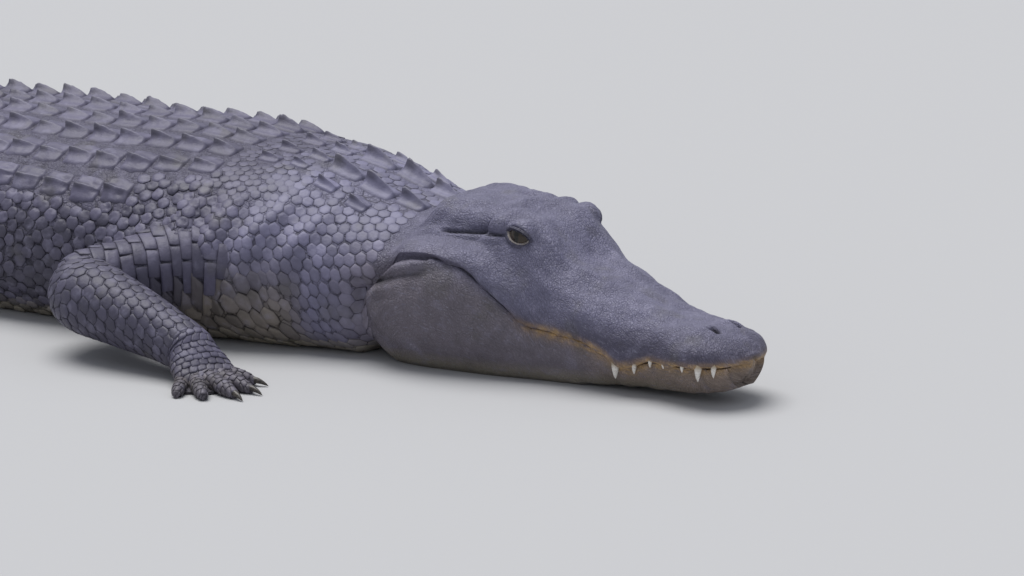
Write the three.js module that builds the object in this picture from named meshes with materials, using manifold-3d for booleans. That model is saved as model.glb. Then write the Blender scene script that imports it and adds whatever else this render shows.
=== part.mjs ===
// A life-size adult American alligator, lying on its belly with its head turned a little to its right.
// Millimetres, +Z up, nose towards +X, its left side towards +Y. The origin is on the floor under mid-trunk.
// Lengths along the animal are measured back from the snout tip, and are called s.
import * as THREE from 'three';
import { ConvexGeometry } from 'three/addons/geometries/ConvexGeometry.js';
import { mergeVertices } from 'three/addons/utils/BufferGeometryUtils.js';
import Module from 'manifold-3d';

const wasm = await Module();
wasm.setup();

// Driving lengths along the animal
const HEAD_END = 440;
const JOWL_END = 486;
const NECK_START = 372;
const SHOULDER = 708;
const TOTAL = 3080;
const ORIGIN_S = 1000;

// How the backbone bends, in degrees: the head to its right, the tail in a slow curve to its left and back
const HEAD_TURN = -7;
const TAIL_SWEEP = -24;
const TAIL_RETURN = 44;

const GAP = 0.3;
const AROUND = 22;
const ROOT = 7;

// Small maths
const clamp = (x, low, high) => Math.min(high, Math.max(low, x));
const radians = (degrees) => (degrees * Math.PI) / 180;
const mix = (a, b, t) => a + (b - a) * t;
const smooth = (x, from, to) => {
  const t = clamp((x - from) / (to - from), 0, 1);
  return t * t * (3 - 2 * t);
};
const bump = (x, centre, width) => Math.exp(-(((x - centre) / width) ** 2));
const power = (x, exponent) => Math.sign(x) * Math.abs(x) ** exponent;

// Seeded random numbers from 0 to 1, so that each build is the same
let seed = 7;
function random() {
  seed = (seed * 16807) % 2147483647;
  return seed / 2147483647;
}

// A curve through [s, value] points that never overshoots them
function profile(points) {
  const x = points.map((p) => p[0]);
  const y = points.map((p) => p[1]);
  const slope = y.slice(1).map((v, i) => (v - y[i]) / (x[i + 1] - x[i]));
  const tangent = y.map((_, i) => {
    if (i === 0 || i === y.length - 1) return slope[Math.min(i, slope.length - 1)];
    const [a, b] = [slope[i - 1], slope[i]];
    return a * b <= 0 ? 0 : (2 * a * b) / (a + b);
  });
  return (s) => {
    if (s <= x[0]) return y[0];
    if (s >= x[x.length - 1]) return y[y.length - 1];
    const i = x.findIndex((v) => v > s) - 1;
    const width = x[i + 1] - x[i];
    const t = (s - x[i]) / width;
    const a = (1 + 2 * t) * (1 - t) ** 2;
    const b = t * (1 - t) ** 2;
    const c = t * t * (3 - 2 * t);
    const d = t * t * (t - 1);
    return a * y[i] + b * width * tangent[i] + c * y[i + 1] + d * width * tangent[i + 1];
  };
}

// The backbone's line on the floor, worked out once in short steps
const STEP = 4;
function heading(s) {
  const head = HEAD_TURN * (1 - smooth(s, 450, 760));
  const tail = TAIL_SWEEP * smooth(s, 1480, 2150) + TAIL_RETURN * smooth(s, 2250, TOTAL);
  return radians(head + tail);
}
const spine = [];
for (let s = 0, x = 0, y = 0; s <= TOTAL + STEP; s += STEP) {
  spine.push([x, y]);
  const h = heading(s + STEP / 2);
  x -= STEP * Math.cos(h);
  y -= STEP * Math.sin(h);
}
const [originX, originY] = spine[ORIGIN_S / STEP];

// The world point at length s, so far to the animal's left and so high
function place(s, left, z) {
  const t = clamp(s / STEP, 0, spine.length - 1.001);
  const i = Math.floor(t);
  const x = mix(spine[i][0], spine[i + 1][0], t - i) - originX;
  const y = mix(spine[i][1], spine[i + 1][1], t - i) - originY;
  const h = heading(s);
  return new THREE.Vector3(x - left * Math.sin(h), y + left * Math.cos(h), z);
}

// Solids from rings and from points
function solid(geometry) {
  const bare = new THREE.BufferGeometry().setAttribute('position', geometry.getAttribute('position'));
  bare.setIndex(geometry.index);
  const merged = mergeVertices(bare, 1e-4);
  const vertProperties = new Float32Array(merged.attributes.position.array);
  const triVerts = new Uint32Array(merged.index.array);
  let made = new wasm.Manifold(new wasm.Mesh({ numProp: 3, vertProperties, triVerts }));
  if (made.volume() < 0) {
    for (let i = 0; i < triVerts.length; i += 3) {
      [triVerts[i + 1], triVerts[i + 2]] = [triVerts[i + 2], triVerts[i + 1]];
    }
    made = new wasm.Manifold(new wasm.Mesh({ numProp: 3, vertProperties, triVerts }));
  }
  return made;
}

function loft(rings) {
  const around = rings[0].length;
  const position = [];
  const index = [];
  for (const ring of rings) for (const p of ring) position.push(p.x, p.y, p.z);
  for (let i = 0; i + 1 < rings.length; i += 1) {
    for (let j = 0; j < around; j += 1) {
      const a = i * around + j;
      const b = i * around + ((j + 1) % around);
      index.push(a, b, b + around, a, b + around, a + around);
    }
  }
  for (const end of [0, rings.length - 1]) {
    const centre = new THREE.Vector3();
    for (const p of rings[end]) centre.addScaledVector(p, 1 / around);
    const middle = position.length / 3;
    position.push(centre.x, centre.y, centre.z);
    for (let j = 0; j < around; j += 1) {
      const a = end * around + j;
      const b = end * around + ((j + 1) % around);
      index.push(...(end === 0 ? [b, a, middle] : [a, b, middle]));
    }
  }
  const geometry = new THREE.BufferGeometry();
  geometry.setAttribute('position', new THREE.Float32BufferAttribute(position, 3));
  geometry.setIndex(index);
  return solid(geometry);
}

const hull = (points) => solid(new ConvexGeometry(points));

function largest(made) {
  const bodies = made.decompose();
  return bodies.reduce((a, b) => (b.volume() > a.volume() ? b : a));
}

const joined = (pieces) => largest(pieces.reduce((all, piece) => all.add(piece)));

// Stations from one length to another, at most so far apart
function stations(from, to, spacing) {
  const count = Math.max(1, Math.round((to - from) / spacing));
  return Array.from({ length: count + 1 }, (_, i) => mix(from, to, i / count));
}

// Neck, trunk and tail: half width, height, height of the widest place, and how far the round belly would
// go below the floor that flattens it
const bodyWidth = profile([
  [300, 92], [372, 112], [440, 132], [520, 154], [600, 178], [680, 194], [800, 208], [960, 218], [1120, 216],
  [1260, 200], [1390, 170], [1500, 138], [1620, 112], [1800, 90], [2000, 74], [2300, 52], [2600, 32],
  [2860, 18], [3060, 7], [TOTAL, 4],
]);
const bodyHeight = profile([
  [300, 60], [372, 112], [440, 160], [500, 172], [580, 190], [660, 204], [800, 211], [960, 208], [1120, 206],
  [1260, 201], [1390, 190], [1500, 175], [1620, 164], [1800, 146], [2000, 130], [2300, 104], [2600, 74],
  [2860, 46], [3060, 18], [TOTAL, 10],
]);
const widestShare = profile([[300, 0.46], [520, 0.44], [800, 0.38], [1300, 0.38], [1600, 0.42], [TOTAL, 0.45]]);
const bellySink = profile([[300, 12], [520, 16], [800, 26], [1300, 26], [1600, 16], [2400, 8], [TOTAL, 1]]);
const topSquareness = profile([[300, 0.9], [700, 0.86], [1300, 0.84], [1600, 0.8], [2400, 1.0], [TOTAL, 1]]);

// The skin of neck, trunk and tail at length s. a goes once round: 0 mid-belly, 0.25 right, 0.5 back, 0.75 left.
function bodySkin(s, a, grow = 0) {
  const width = bodyWidth(s) + grow;
  const height = bodyHeight(s) + grow;
  const widest = bodyHeight(s) * widestShare(s);
  const angle = 2 * Math.PI * a;
  const up = -Math.cos(angle);
  const left = -width * power(Math.sin(angle), 0.9);
  const z = up > 0
    ? widest + (height - widest) * up ** topSquareness(s)
    : widest - (widest + bellySink(s) + grow) * (-up) ** 0.62;
  return [left, Math.max(z, -grow)];
}
const bodyPoint = (s, a, lift = 0) => {
  const [left, z] = bodySkin(s, a);
  const p = place(s, left, z);
  if (lift === 0) return p;
  return p.addScaledVector(bodyNormal(s, a), lift);
};
function bodyNormal(s, a) {
  const along = bodyPoint(s + 4, a).sub(bodyPoint(s - 4, a));
  const round = bodyPoint(s, a + 0.004).sub(bodyPoint(s, a - 0.004));
  return round.cross(along).normalize();
}
function bodyLoft(lengths, around, grow = 0) {
  const rings = lengths.map((s) =>
    Array.from({ length: around }, (_, j) => {
      const [left, z] = bodySkin(s, j / around, grow);
      return place(s, left, z);
    }),
  );
  return loft(rings);
}

// The place round the body that lies so far, along the skin, from the middle of the back
function aroundAt(s, fromMiddle) {
  const step = 0.004;
  let travelled = 0;
  let a = 0.5;
  let last = bodySkin(s, a);
  while (travelled < Math.abs(fromMiddle) && a < 0.95) {
    a += step;
    const next = bodySkin(s, a);
    travelled += Math.hypot(next[0] - last[0], next[1] - last[1]);
    last = next;
  }
  return fromMiddle < 0 ? 1 - a : a;
}

// One keeled bony plate: a four-sided plate whose ridge rises towards the tail and then drops
function keeledPlate(s, fromMiddle, { length, width, rim, keel, root = ROOT, blade = 0 }) {
  const a = aroundAt(s, fromMiddle);
  const centre = bodyPoint(s, a);
  const up = bodyNormal(s, a);
  if (blade > 0) up.lerp(new THREE.Vector3(0, 0, 1), blade).normalize();
  const back = bodyPoint(s + 6, a).sub(bodyPoint(s - 6, a));
  back.addScaledVector(up, -back.dot(up)).normalize();
  const across = new THREE.Vector3().crossVectors(up, back);
  const at = (u, v, n) => centre.clone().addScaledVector(back, u).addScaledVector(across, v).addScaledVector(up, n);
  const [l, w] = [length / 2, width / 2];
  return hull([
    at(-l, -w * 0.7, -root), at(-l, w * 0.7, -root), at(l, w, -root), at(l, -w, -root),
    at(-l, -w * 0.7, rim), at(-l, w * 0.7, rim), at(l, w, rim), at(l, -w, rim),
    at(-l * 0.8, 0, rim + keel * 0.25), at(l * 0.74, 0, rim + keel),
  ]);
}

// Plates of the neck: [s, from the middle, length, width, keel]
const NECK_PLATES = [
  [474, 30, 40, 32, 22], [522, 34, 46, 38, 26], [520, 76, 30, 26, 12], [574, 30, 46, 36, 24], [572, 72, 32, 26, 11],
  [622, 22, 30, 24, 11], [625, 56, 26, 22, 8], [664, 24, 32, 26, 12], [666, 62, 30, 26, 9],
];
function neckPlates() {
  return NECK_PLATES.flatMap(([s, m, length, width, keel]) =>
    [-1, 1].map((side) => keeledPlate(s, side * m, { length, width, rim: 1.5, keel })),
  );
}

// Plates of the trunk stand in cross rows, with a smaller plate further from the middle
const ROW_PITCH = profile([[SHOULDER, 41.5], [2200, 42], [2700, 40], [TOTAL, 30]]);
const TRUNK_ROWS = 19;
const FRONT_ROWS = 8;
const rowStarts = [SHOULDER];
while (rowStarts.at(-1) < TOTAL - 50) rowStarts.push(rowStarts.at(-1) + ROW_PITCH(rowStarts.at(-1)));
const rowMiddles = rowStarts.slice(1).map((end, i) => (rowStarts[i] + end) / 2);
const plateWidth = profile([[600, 34], [700, 42], [860, 53], [1200, 52], [1380, 38], [1500, 31]]);
const columnsAt = (s) => (s < 790 ? 3 : s < 1330 ? 4 : s < 1400 ? 3 : 2);
const COLUMN_KEEL = [15, 14, 11, 9];
function trunkPlates(from, to) {
  const plates = [];
  for (const s of rowMiddles.slice(from, to)) {
    const wide = plateWidth(s);
    for (let column = 0; column < columnsAt(s); column += 1) {
      for (const side of [-1, 1]) {
        plates.push(keeledPlate(s, side * (column + 0.5) * wide, {
          length: ROW_PITCH(s) * 0.9,
          width: wide * (column < 3 ? 0.84 : 0.66),
          rim: 1.6,
          keel: COLUMN_KEEL[column] * (0.85 + 0.3 * random()),
        }));
      }
    }
  }
  return plates;
}

// The tail carries two crests that climb, meet, and go on as one to the tip
const CREST_MEET = 2265;
const crestHeight = profile([[1480, 14], [1800, 20], [2100, 30], [2265, 36], [2500, 38], [2800, 28], [3000, 16], [TOTAL, 9]]);
const crestApart = profile([[1460, 17], [1700, 22], [2000, 20], [2265, 10]]);
function tailPlates(from, to) {
  const plates = [];
  for (const s of rowMiddles.slice(from, to)) {
    const pitch = ROW_PITCH(s);
    const keel = crestHeight(s) * (0.9 + 0.2 * random());
    const blade = smooth(s, 1500, 1900);
    const width = Math.min(mix(30, 15, smooth(s, 1480, 2000)), bodyWidth(s) * 1.1);
    if (s < CREST_MEET) {
      for (const side of [-1, 1]) {
        plates.push(keeledPlate(s, side * crestApart(s), { length: pitch * 0.9, width, rim: 1.5, keel, blade }));
        if (s < 1760) {
          const outer = side * (crestApart(s) + 34);
          plates.push(keeledPlate(s, outer, { length: pitch * 0.85, width: 26, rim: 1.2, keel: 7 }));
        }
      }
    } else {
      const root = Math.min(ROOT, bodyHeight(s) * 0.3);
      plates.push(keeledPlate(s, 0, { length: pitch * 0.92, width: Math.min(width, 13), rim: 1, keel, root, blade: 1 }));
    }
  }
  return plates;
}

// Head: the mouth line's height, the lip's half width and the top line, from the snout tip back
const lipWidth = profile([
  [0, 16], [4, 29], [14, 45], [34, 58], [60, 61], [84, 59], [102, 58], [140, 68], [180, 75], [230, 82],
  [280, 95], [330, 113], [375, 126], [410, 128], [HEAD_END, 121],
]);
const lipHeight = profile([
  [0, 51], [30, 48], [70, 45], [100, 44], [138, 33], [160, 47], [205, 60], [255, 66], [286, 88], [310, 109],
  [340, 131], [375, 140], [HEAD_END, 130],
]);
const topHeight = profile([
  [0, 62], [6, 67], [20, 75], [60, 83], [110, 92], [170, 111], [220, 130], [262, 144], [300, 150], [340, 152],
  [400, 152], [HEAD_END, 148],
]);
const topRoundness = profile([[0, 0.9], [40, 0.62], [120, 0.62], [220, 0.7], [300, 0.95], [HEAD_END, 1.1]]);

// What stands up from the plain top of the head, at length s and so far from its middle line
function headRelief(s, left) {
  const off = Math.abs(left);
  const nose = 5.5 * bump(s, 42, 26) * (1 - smooth(off, 18, 44));
  const edge = mix(50, 66, smooth(s, 320, 420));
  const fall = 0.5 * smooth(off, edge - 14, edge + 4) + 0.5 * smooth(off, edge + 6, edge + 22);
  const table = 39 * smooth(s, 288, 326) * (1 - 0.6 * smooth(s, 400, HEAD_END)) * (1 - fall);
  const brow = 37 * mix(0.75, 1, smooth(off, 10, 38)) * (1 - smooth(off, 60, 84)) * smooth(s, 226, 282) * (1 - smooth(s, 312, 348));
  const ridge = 4 * bump(off, mix(20, 40, smooth(s, 150, 250)), 12) * smooth(s, 150, 215) * (1 - smooth(s, 250, 285));
  return nose + Math.max(table, brow) + ridge;
}
function headSkin(s, share, grow = 0) {
  const angle = Math.PI * share;
  const left = -(lipWidth(s) + grow) * power(Math.cos(angle), 0.78);
  const low = lipHeight(s) + 3;
  const high = topHeight(s) + grow;
  return [left, low + (high - low) * Math.sin(angle) ** topRoundness(s) + headRelief(s, left) * Math.sin(angle)];
}
const HEAD_SHARES = 18;
const HEAD_STATIONS = [
  0, 6, 18, 36, 56, 80, 110, 145, 185, 222, 250, 272, 292, 308, 326, 350, 385, 415, HEAD_END,
];
function headRing(s, grow) {
  const ring = [];
  for (let j = 0; j <= HEAD_SHARES; j += 1) {
    const [left, z] = headSkin(s, j / HEAD_SHARES, grow);
    ring.push(place(s, left, z));
  }
  // The lip turns in under the edge, and the roof of the mouth closes the ring
  const edge = lipWidth(s) + grow;
  for (const share of [1, 0.55, 0, -0.55, -1]) {
    ring.push(place(s, edge * share * (Math.abs(share) === 1 ? 0.97 : 1), lipHeight(s) - grow));
  }
  return ring;
}
const headLoft = (grow = 0) => loft(HEAD_STATIONS.map((s) => headRing(s + (s === HEAD_END ? grow : 0), grow)));

// Lower jaw, with the jowls that swell behind the mouth
const JAW_TIP = 9;
const jawEdge = profile([
  [JAW_TIP, 14], [13, 26], [20, 37], [34, 47], [60, 52], [102, 49], [140, 59], [180, 67], [230, 76], [280, 92],
  [330, 111], [380, 125], [430, 129], [470, 119], [JOWL_END, 104],
]);
const jowl = profile([
  [JAW_TIP, 12], [16, 28], [34, 43], [102, 47], [180, 66], [230, 78], [280, 98], [330, 120], [380, 138],
  [425, 146], [462, 138], [JOWL_END, 116],
]);
const jawBottomWidth = profile([
  [JAW_TIP, 5], [16, 14], [34, 28], [120, 38], [230, 60], [330, 92], [420, 108], [JOWL_END, 80],
]);
const jawBottom = profile([
  [JAW_TIP, 33], [14, 25], [26, 18], [60, 11], [150, 7], [230, 0], [430, 0], [470, 10], [JOWL_END, 30],
]);
const jawTop = profile([[360, 139], [400, 134], [430, 122], [462, 106], [JOWL_END, 78]]);
const JAW_STATIONS = [
  JAW_TIP, 18, 36, 70, 110, 138, 160, 205, 255, 286, 310, 340, 375, 410, 444, 470, JOWL_END,
];
function jawRing(s, grow) {
  const top = (s < 375 ? lipHeight(s) : jawTop(s)) - 1.2 + grow;
  const bottom = jawBottom(s) - grow;
  const side = [
    [jawEdge(s), top], [mix(jawEdge(s), jowl(s), 0.7), mix(top, bottom, 0.2)], [jowl(s), mix(top, bottom, 0.48)],
    [mix(jowl(s), jawBottomWidth(s), 0.35), mix(top, bottom, 0.8)], [jawBottomWidth(s), bottom],
  ];
  const right = side.map(([w, z]) => place(s, -w - grow, z));
  const left = side.map(([w, z]) => place(s, w + grow, z)).reverse();
  return [...right, ...left];
}
const jawLoft = (grow = 0) => loft(JAW_STATIONS.map((s) => jawRing(s + (s === JOWL_END ? grow : 0), grow)));

// Teeth of the upper jaw that hang outside the lower one: [s, length, radius]
const TEETH = [
  [19, 13, 3.2], [35, 17, 3.8], [54, 8, 2.4], [82, 7, 2.2], [102, 9, 2.4], [122, 12, 3], [145, 18, 4.2],
];
function tooth(s, side, length, radius) {
  const out = side * (lipWidth(s) - radius - 0.6);
  const z = lipHeight(s);
  const points = [];
  for (let k = 0; k < 5; k += 1) {
    const angle = (k / 5) * 2 * Math.PI;
    points.push(place(s + radius * Math.cos(angle), out + radius * Math.sin(angle), z + 5));
    points.push(place(s + radius * 0.8 * Math.cos(angle), out + radius * 0.8 * Math.sin(angle), z - length * 0.45));
  }
  points.push(place(s + radius * 0.2, out + side * 0.6, z - length));
  return hull(points);
}

// Eyes, each in the swelling under its brow, where the lids open in an almond
const EYE_RADIUS = 18;
const EYE = { s: 288, left: 53, z: 162 };
const LID_OPENING = [22, 17, 11];
function eyeball(side, grow) {
  const sphere = new THREE.SphereGeometry(EYE_RADIUS + grow, 12, 8);
  sphere.deleteAttribute('normal');
  sphere.deleteAttribute('uv');
  const centre = place(EYE.s, side * EYE.left, EYE.z);
  sphere.translate(centre.x, centre.y, centre.z);
  return solid(sphere);
}
// A small ellipsoid in the head's own directions, for pits and swellings
function blob(s, left, z, [along, across, high], detail = 10) {
  const sphere = new THREE.SphereGeometry(1, detail, Math.round(detail * 0.7));
  sphere.deleteAttribute('normal');
  sphere.deleteAttribute('uv');
  const h = heading(s);
  const centre = place(s, left, z);
  sphere.scale(along, across, high).rotateZ(h).translate(centre.x, centre.y, centre.z);
  return solid(sphere);
}

function buildHead() {
  const pieces = [headLoft()];
  for (const side of [-1, 1]) {
    for (const [s, length, radius] of TEETH) pieces.push(tooth(s, side, length, radius));
    pieces.push(blob(43, side * 20, 88, [13, 12, 8], 8));
    pieces.push(blob(366, side * 62, 168, [34, 12, 9], 8));
  }
  let head = joined(pieces);
  for (const side of [-1, 1]) {
    head = head.subtract(eyeball(side, GAP)).subtract(blob(EYE.s - 3, side * (EYE.left + 17), EYE.z, LID_OPENING, 12));
    head = head.subtract(blob(40, side * 19, 98, [7, 4, 7], 8));
    head = head.subtract(blob(341, side * 22, 195, [14, 10, 8], 8));
  }
  return largest(head);
}

// Limbs: rings along a line of [forward, out, up, half width, half height], from the floor point under the spine
function limbFrame(s, side) {
  const root = place(s, 0, 0);
  const h = heading(s);
  return ([forward, out, up]) => new THREE.Vector3(
    root.x + forward * Math.cos(h) - side * out * Math.sin(h),
    root.y + forward * Math.sin(h) + side * out * Math.cos(h),
    up,
  );
}
function limbLoft(frame, line, around, rings, grow = 0) {
  const curve = new THREE.CatmullRomCurve3(line.map(frame), false, 'centripetal');
  const index = line.map((_, i) => i / (line.length - 1));
  const wide = profile(line.map((p, i) => [index[i], p[3]]));
  const high = profile(line.map((p, i) => [index[i], p[4]]));
  const made = [];
  for (let i = 0; i <= rings; i += 1) {
    const t = i / rings;
    const centre = curve.getPoint(t);
    const along = curve.getTangent(t);
    const across = new THREE.Vector3(0, 0, 1).cross(along).normalize();
    const up = along.clone().cross(across).normalize();
    const ring = [];
    for (let j = 0; j < around; j += 1) {
      const angle = (j / around) * 2 * Math.PI;
      const p = centre.clone()
        .addScaledVector(across, (wide(t) + grow) * power(Math.cos(angle), 0.9))
        .addScaledVector(up, (high(t) + grow) * power(Math.sin(angle), 0.9));
      p.z = Math.max(p.z, -grow);
      ring.push(p);
    }
    made.push(ring);
  }
  return loft(made);
}

// The fore limb lies bent, with its elbow out and back and its spread hand forward on the floor
const FORE_S = 690;
const UPPER_ARM = [
  [80, 64, 74, 38, 38], [48, 128, 82, 45, 46], [-22, 188, 86, 38, 40], [-64, 236, 84, 34, 36],
  [-94, 268, 80, 31, 34], [-108, 288, 77, 21, 24], [-112, 296, 76, 6, 8],
];
const FOREARM = [
  [-110, 292, 72, 6, 8], [-100, 294, 72, 30, 32], [-58, 300, 68, 40, 38], [4, 306, 56, 34, 33], [62, 312, 42, 27, 28],
  [92, 316, 33, 26, 23],
];
const PALM = [
  [92, 316, 33, 25, 22], [104, 322, 27, 29, 19], [118, 330, 19, 35, 15], [130, 337, 13, 34, 10], [138, 342, 8, 26, 7],
];
// Fingers, inner first: [root out, root forward, tip out, tip forward, thickness]
const FINGERS = [
  [314, 130, 302, 176, 10], [328, 136, 334, 196, 10], [341, 135, 364, 194, 10], [352, 127, 392, 168, 9],
  [358, 114, 400, 134, 8],
];
// The hind limb lies folded beside the hips, with its webbed foot flat
const HIND_S = 1390;
const THIGH = [
  [-20, 90, 92, 50, 56], [20, 150, 96, 52, 58], [66, 204, 88, 44, 50], [104, 244, 76, 34, 40],
  [118, 262, 70, 22, 26], [124, 270, 68, 7, 8],
];
const SHANK = [
  [122, 266, 62, 7, 8], [108, 270, 58, 28, 32], [58, 284, 50, 34, 36], [0, 300, 38, 26, 27], [-36, 310, 27, 21, 20],
];
const SOLE = [
  [-36, 310, 27, 20, 19], [-44, 322, 20, 24, 17], [-34, 344, 15, 30, 13], [-10, 366, 11, 36, 10], [10, 382, 8, 34, 7],
];
const TOES = [
  [348, 20, 352, 78, 11], [366, 22, 392, 98, 11], [382, 12, 436, 90, 11], [396, -6, 466, 50, 10],
];

// A digit is a tapering hull of three rings that ends in a claw, if it has one
function digit(frame, [rootOut, rootForward, tipOut, tipForward, thick], claw) {
  const along = new THREE.Vector2(tipForward - rootForward, tipOut - rootOut).normalize();
  const at = (t, u, v, z) => frame([
    mix(rootForward, tipForward, t) + along.x * u - along.y * v,
    mix(rootOut, tipOut, t) + along.y * u + along.x * v,
    z,
  ]);
  const rings = [];
  for (const [t, size] of [[-0.22, 1.15], [0.4, 0.92], [0.84, 0.6]]) {
    const wide = thick * size;
    rings.push(at(t, 0, -wide * 0.8, 0), at(t, 0, wide * 0.8, 0), at(t, 0, -wide, wide), at(t, 0, wide, wide));
    rings.push(at(t, 0, -wide * 0.4, wide * 1.9), at(t, 0, wide * 0.4, wide * 1.9));
  }
  const finger = hull([...rings, at(0.84, 5, 0, thick * 0.5)]);
  if (!claw) return [finger];
  const nail = hull([
    at(0.84, -4, -3.2, 1.2), at(0.84, -4, 3.2, 1.2), at(0.84, -4, 0, 10.5),
    at(0.84, 12, -1.8, 0.6), at(0.84, 12, 1.8, 0.6), at(0.84, 11, 0, 7), at(0.84, 23, 0, 0.5),
  ]);
  return [finger, nail];
}

function webs(frame, digits) {
  return digits.slice(1).map((b, i) => {
    const a = digits[i];
    const reach = 0.42;
    const corner = (d, t, z) => frame([mix(d[1], d[3], t), mix(d[0], d[2], t), z]);
    return hull([
      corner(a, -0.2, 0), corner(a, reach, 0), corner(b, -0.2, 0), corner(b, reach, 0),
      corner(a, -0.2, 9), corner(a, reach, 4), corner(b, -0.2, 9), corner(b, reach, 4),
    ]);
  });
}

function buildLimb(name, s, side, [upper, lower, palm], digits, clawed, body) {
  const frame = limbFrame(s, side);
  const upperPart = largest(limbLoft(frame, upper, 12, 8).subtract(body));
  const lowerPart = largest(limbLoft(frame, lower, 12, 8).subtract(limbLoft(frame, upper, 12, 8, GAP)).subtract(body));
  const grownLower = limbLoft(frame, lower, 12, 8, GAP);
  const pieces = [limbLoft(frame, palm, 8, 4), ...webs(frame, digits)];
  digits.forEach((d, i) => pieces.push(...digit(frame, d, i < clawed)));
  const end = largest(joined(pieces).subtract(grownLower));
  return [[`${name}_upper`, upperPart], [`${name}_lower`, lowerPart], [`${name}_foot`, end]];
}

// Skin and eye materials
const hide = new THREE.MeshStandardMaterial({ color: 0x54535f, roughness: 0.6, metalness: 0 });
const belly = new THREE.MeshStandardMaterial({ color: 0x6b655f, roughness: 0.65, metalness: 0 });
const eyeMaterial = new THREE.MeshStandardMaterial({ color: 0x2e2a26, roughness: 0.12, metalness: 0 });

// The ends of each edge shorter than this are made one point, since cuts leave such slivers
const SHORTEST_EDGE = 0.16;
function withoutSlivers(position, triangles) {
  const stands = Array.from({ length: position.length / 3 }, (_, i) => i);
  const root = (i) => {
    let at = i;
    while (stands[at] !== at) at = stands[at];
    return at;
  };
  const point = (i) => new THREE.Vector3().fromArray(position, i * 3);
  for (let i = 0; i < triangles.length; i += 3) {
    for (const [a, b] of [[0, 1], [1, 2], [2, 0]]) {
      const [from, to] = [root(triangles[i + a]), root(triangles[i + b])];
      if (from !== to && point(from).distanceTo(point(to)) < SHORTEST_EDGE) stands[Math.max(from, to)] = Math.min(from, to);
    }
  }
  const kept = [];
  for (let i = 0; i < triangles.length; i += 3) {
    const [a, b, c] = [root(triangles[i]), root(triangles[i + 1]), root(triangles[i + 2])];
    if (a !== b && b !== c && c !== a) kept.push(a, b, c);
  }
  return kept;
}

const animal = new THREE.Group();
function addNode(name, made, material = hide) {
  const source = made.getMesh();
  const stride = source.numProp;
  const position = new Float32Array(source.numVert * 3);
  for (let i = 0; i < source.numVert; i += 1) {
    position.set(source.vertProperties.subarray(i * stride, i * stride + 3), i * 3);
  }
  const welded = new THREE.BufferGeometry();
  welded.setAttribute('position', new THREE.BufferAttribute(position, 3));
  welded.setIndex(withoutSlivers(position, source.triVerts));
  const geometry = mergeVertices(welded, 1e-5);
  geometry.computeVertexNormals();
  const mesh = new THREE.Mesh(geometry, material);
  mesh.name = name;
  animal.add(mesh);
}

addNode('head', buildHead());
addNode('lower_jaw', largest(jawLoft().subtract(headLoft(GAP))), belly);
for (const side of [-1, 1]) addNode(side < 0 ? 'eye_right' : 'eye_left', eyeball(side, 0), eyeMaterial);

// Neck, trunk and tail, cut between two cross rows of plates
const half = GAP / 2;
const cutAt = (row) => (row < rowStarts.length ? rowStarts[row] : TOTAL);
const neckLengths = stations(NECK_START, SHOULDER - half, 42);
const trunkLengths = (from, to) => [
  cutAt(from) + half, ...rowStarts.slice(from + 1, to).filter((_, i) => i % 2 === 1), cutAt(to) - half,
];
const neckBody = bodyLoft(neckLengths, AROUND).subtract(headLoft(GAP)).subtract(jawLoft(GAP));
addNode('neck', joined([neckBody, ...neckPlates()]));
addNode('torso_front', joined([bodyLoft(trunkLengths(0, FRONT_ROWS), AROUND), ...trunkPlates(0, FRONT_ROWS)]));
addNode('torso_rear', joined([bodyLoft(trunkLengths(FRONT_ROWS, TRUNK_ROWS), AROUND), ...trunkPlates(FRONT_ROWS, TRUNK_ROWS)]));
const TAIL_NODES = [
  ['tail_base', TRUNK_ROWS, 28, 18], ['tail_middle', 28, 37, 14], ['tail_rear', 37, 47, 12], ['tail_tip', 47, 99, 10],
];
for (const [name, from, to, around] of TAIL_NODES) {
  const lengths = stations(cutAt(from) + half, cutAt(to) - (to < 99 ? half : 0), 60);
  addNode(name, joined([bodyLoft(lengths, around), ...tailPlates(from, to)]));
}

const grownBody = bodyLoft([...neckLengths, ...trunkLengths(0, FRONT_ROWS), ...trunkLengths(FRONT_ROWS, TRUNK_ROWS)], AROUND, GAP * 1.5);
for (const side of [-1, 1]) {
  const hand = side < 0 ? 'right' : 'left';
  for (const [name, made] of [
    ...buildLimb(`fore_${hand}`, FORE_S, side, [UPPER_ARM, FOREARM, PALM], FINGERS, 3, grownBody),
    ...buildLimb(`hind_${hand}`, HIND_S, side, [THIGH, SHANK, SOLE], TOES, 3, grownBody),
  ]) addNode(name, made);
}

export default animal;
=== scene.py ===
"""A life-size still model of an adult American alligator, lying on its belly with its mouth closed.

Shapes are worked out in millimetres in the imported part's own frame: +X towards the nose, +Y to the
animal's left, +Z up. Lengths along the animal are measured back from the snout tip and called s.
"""

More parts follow.
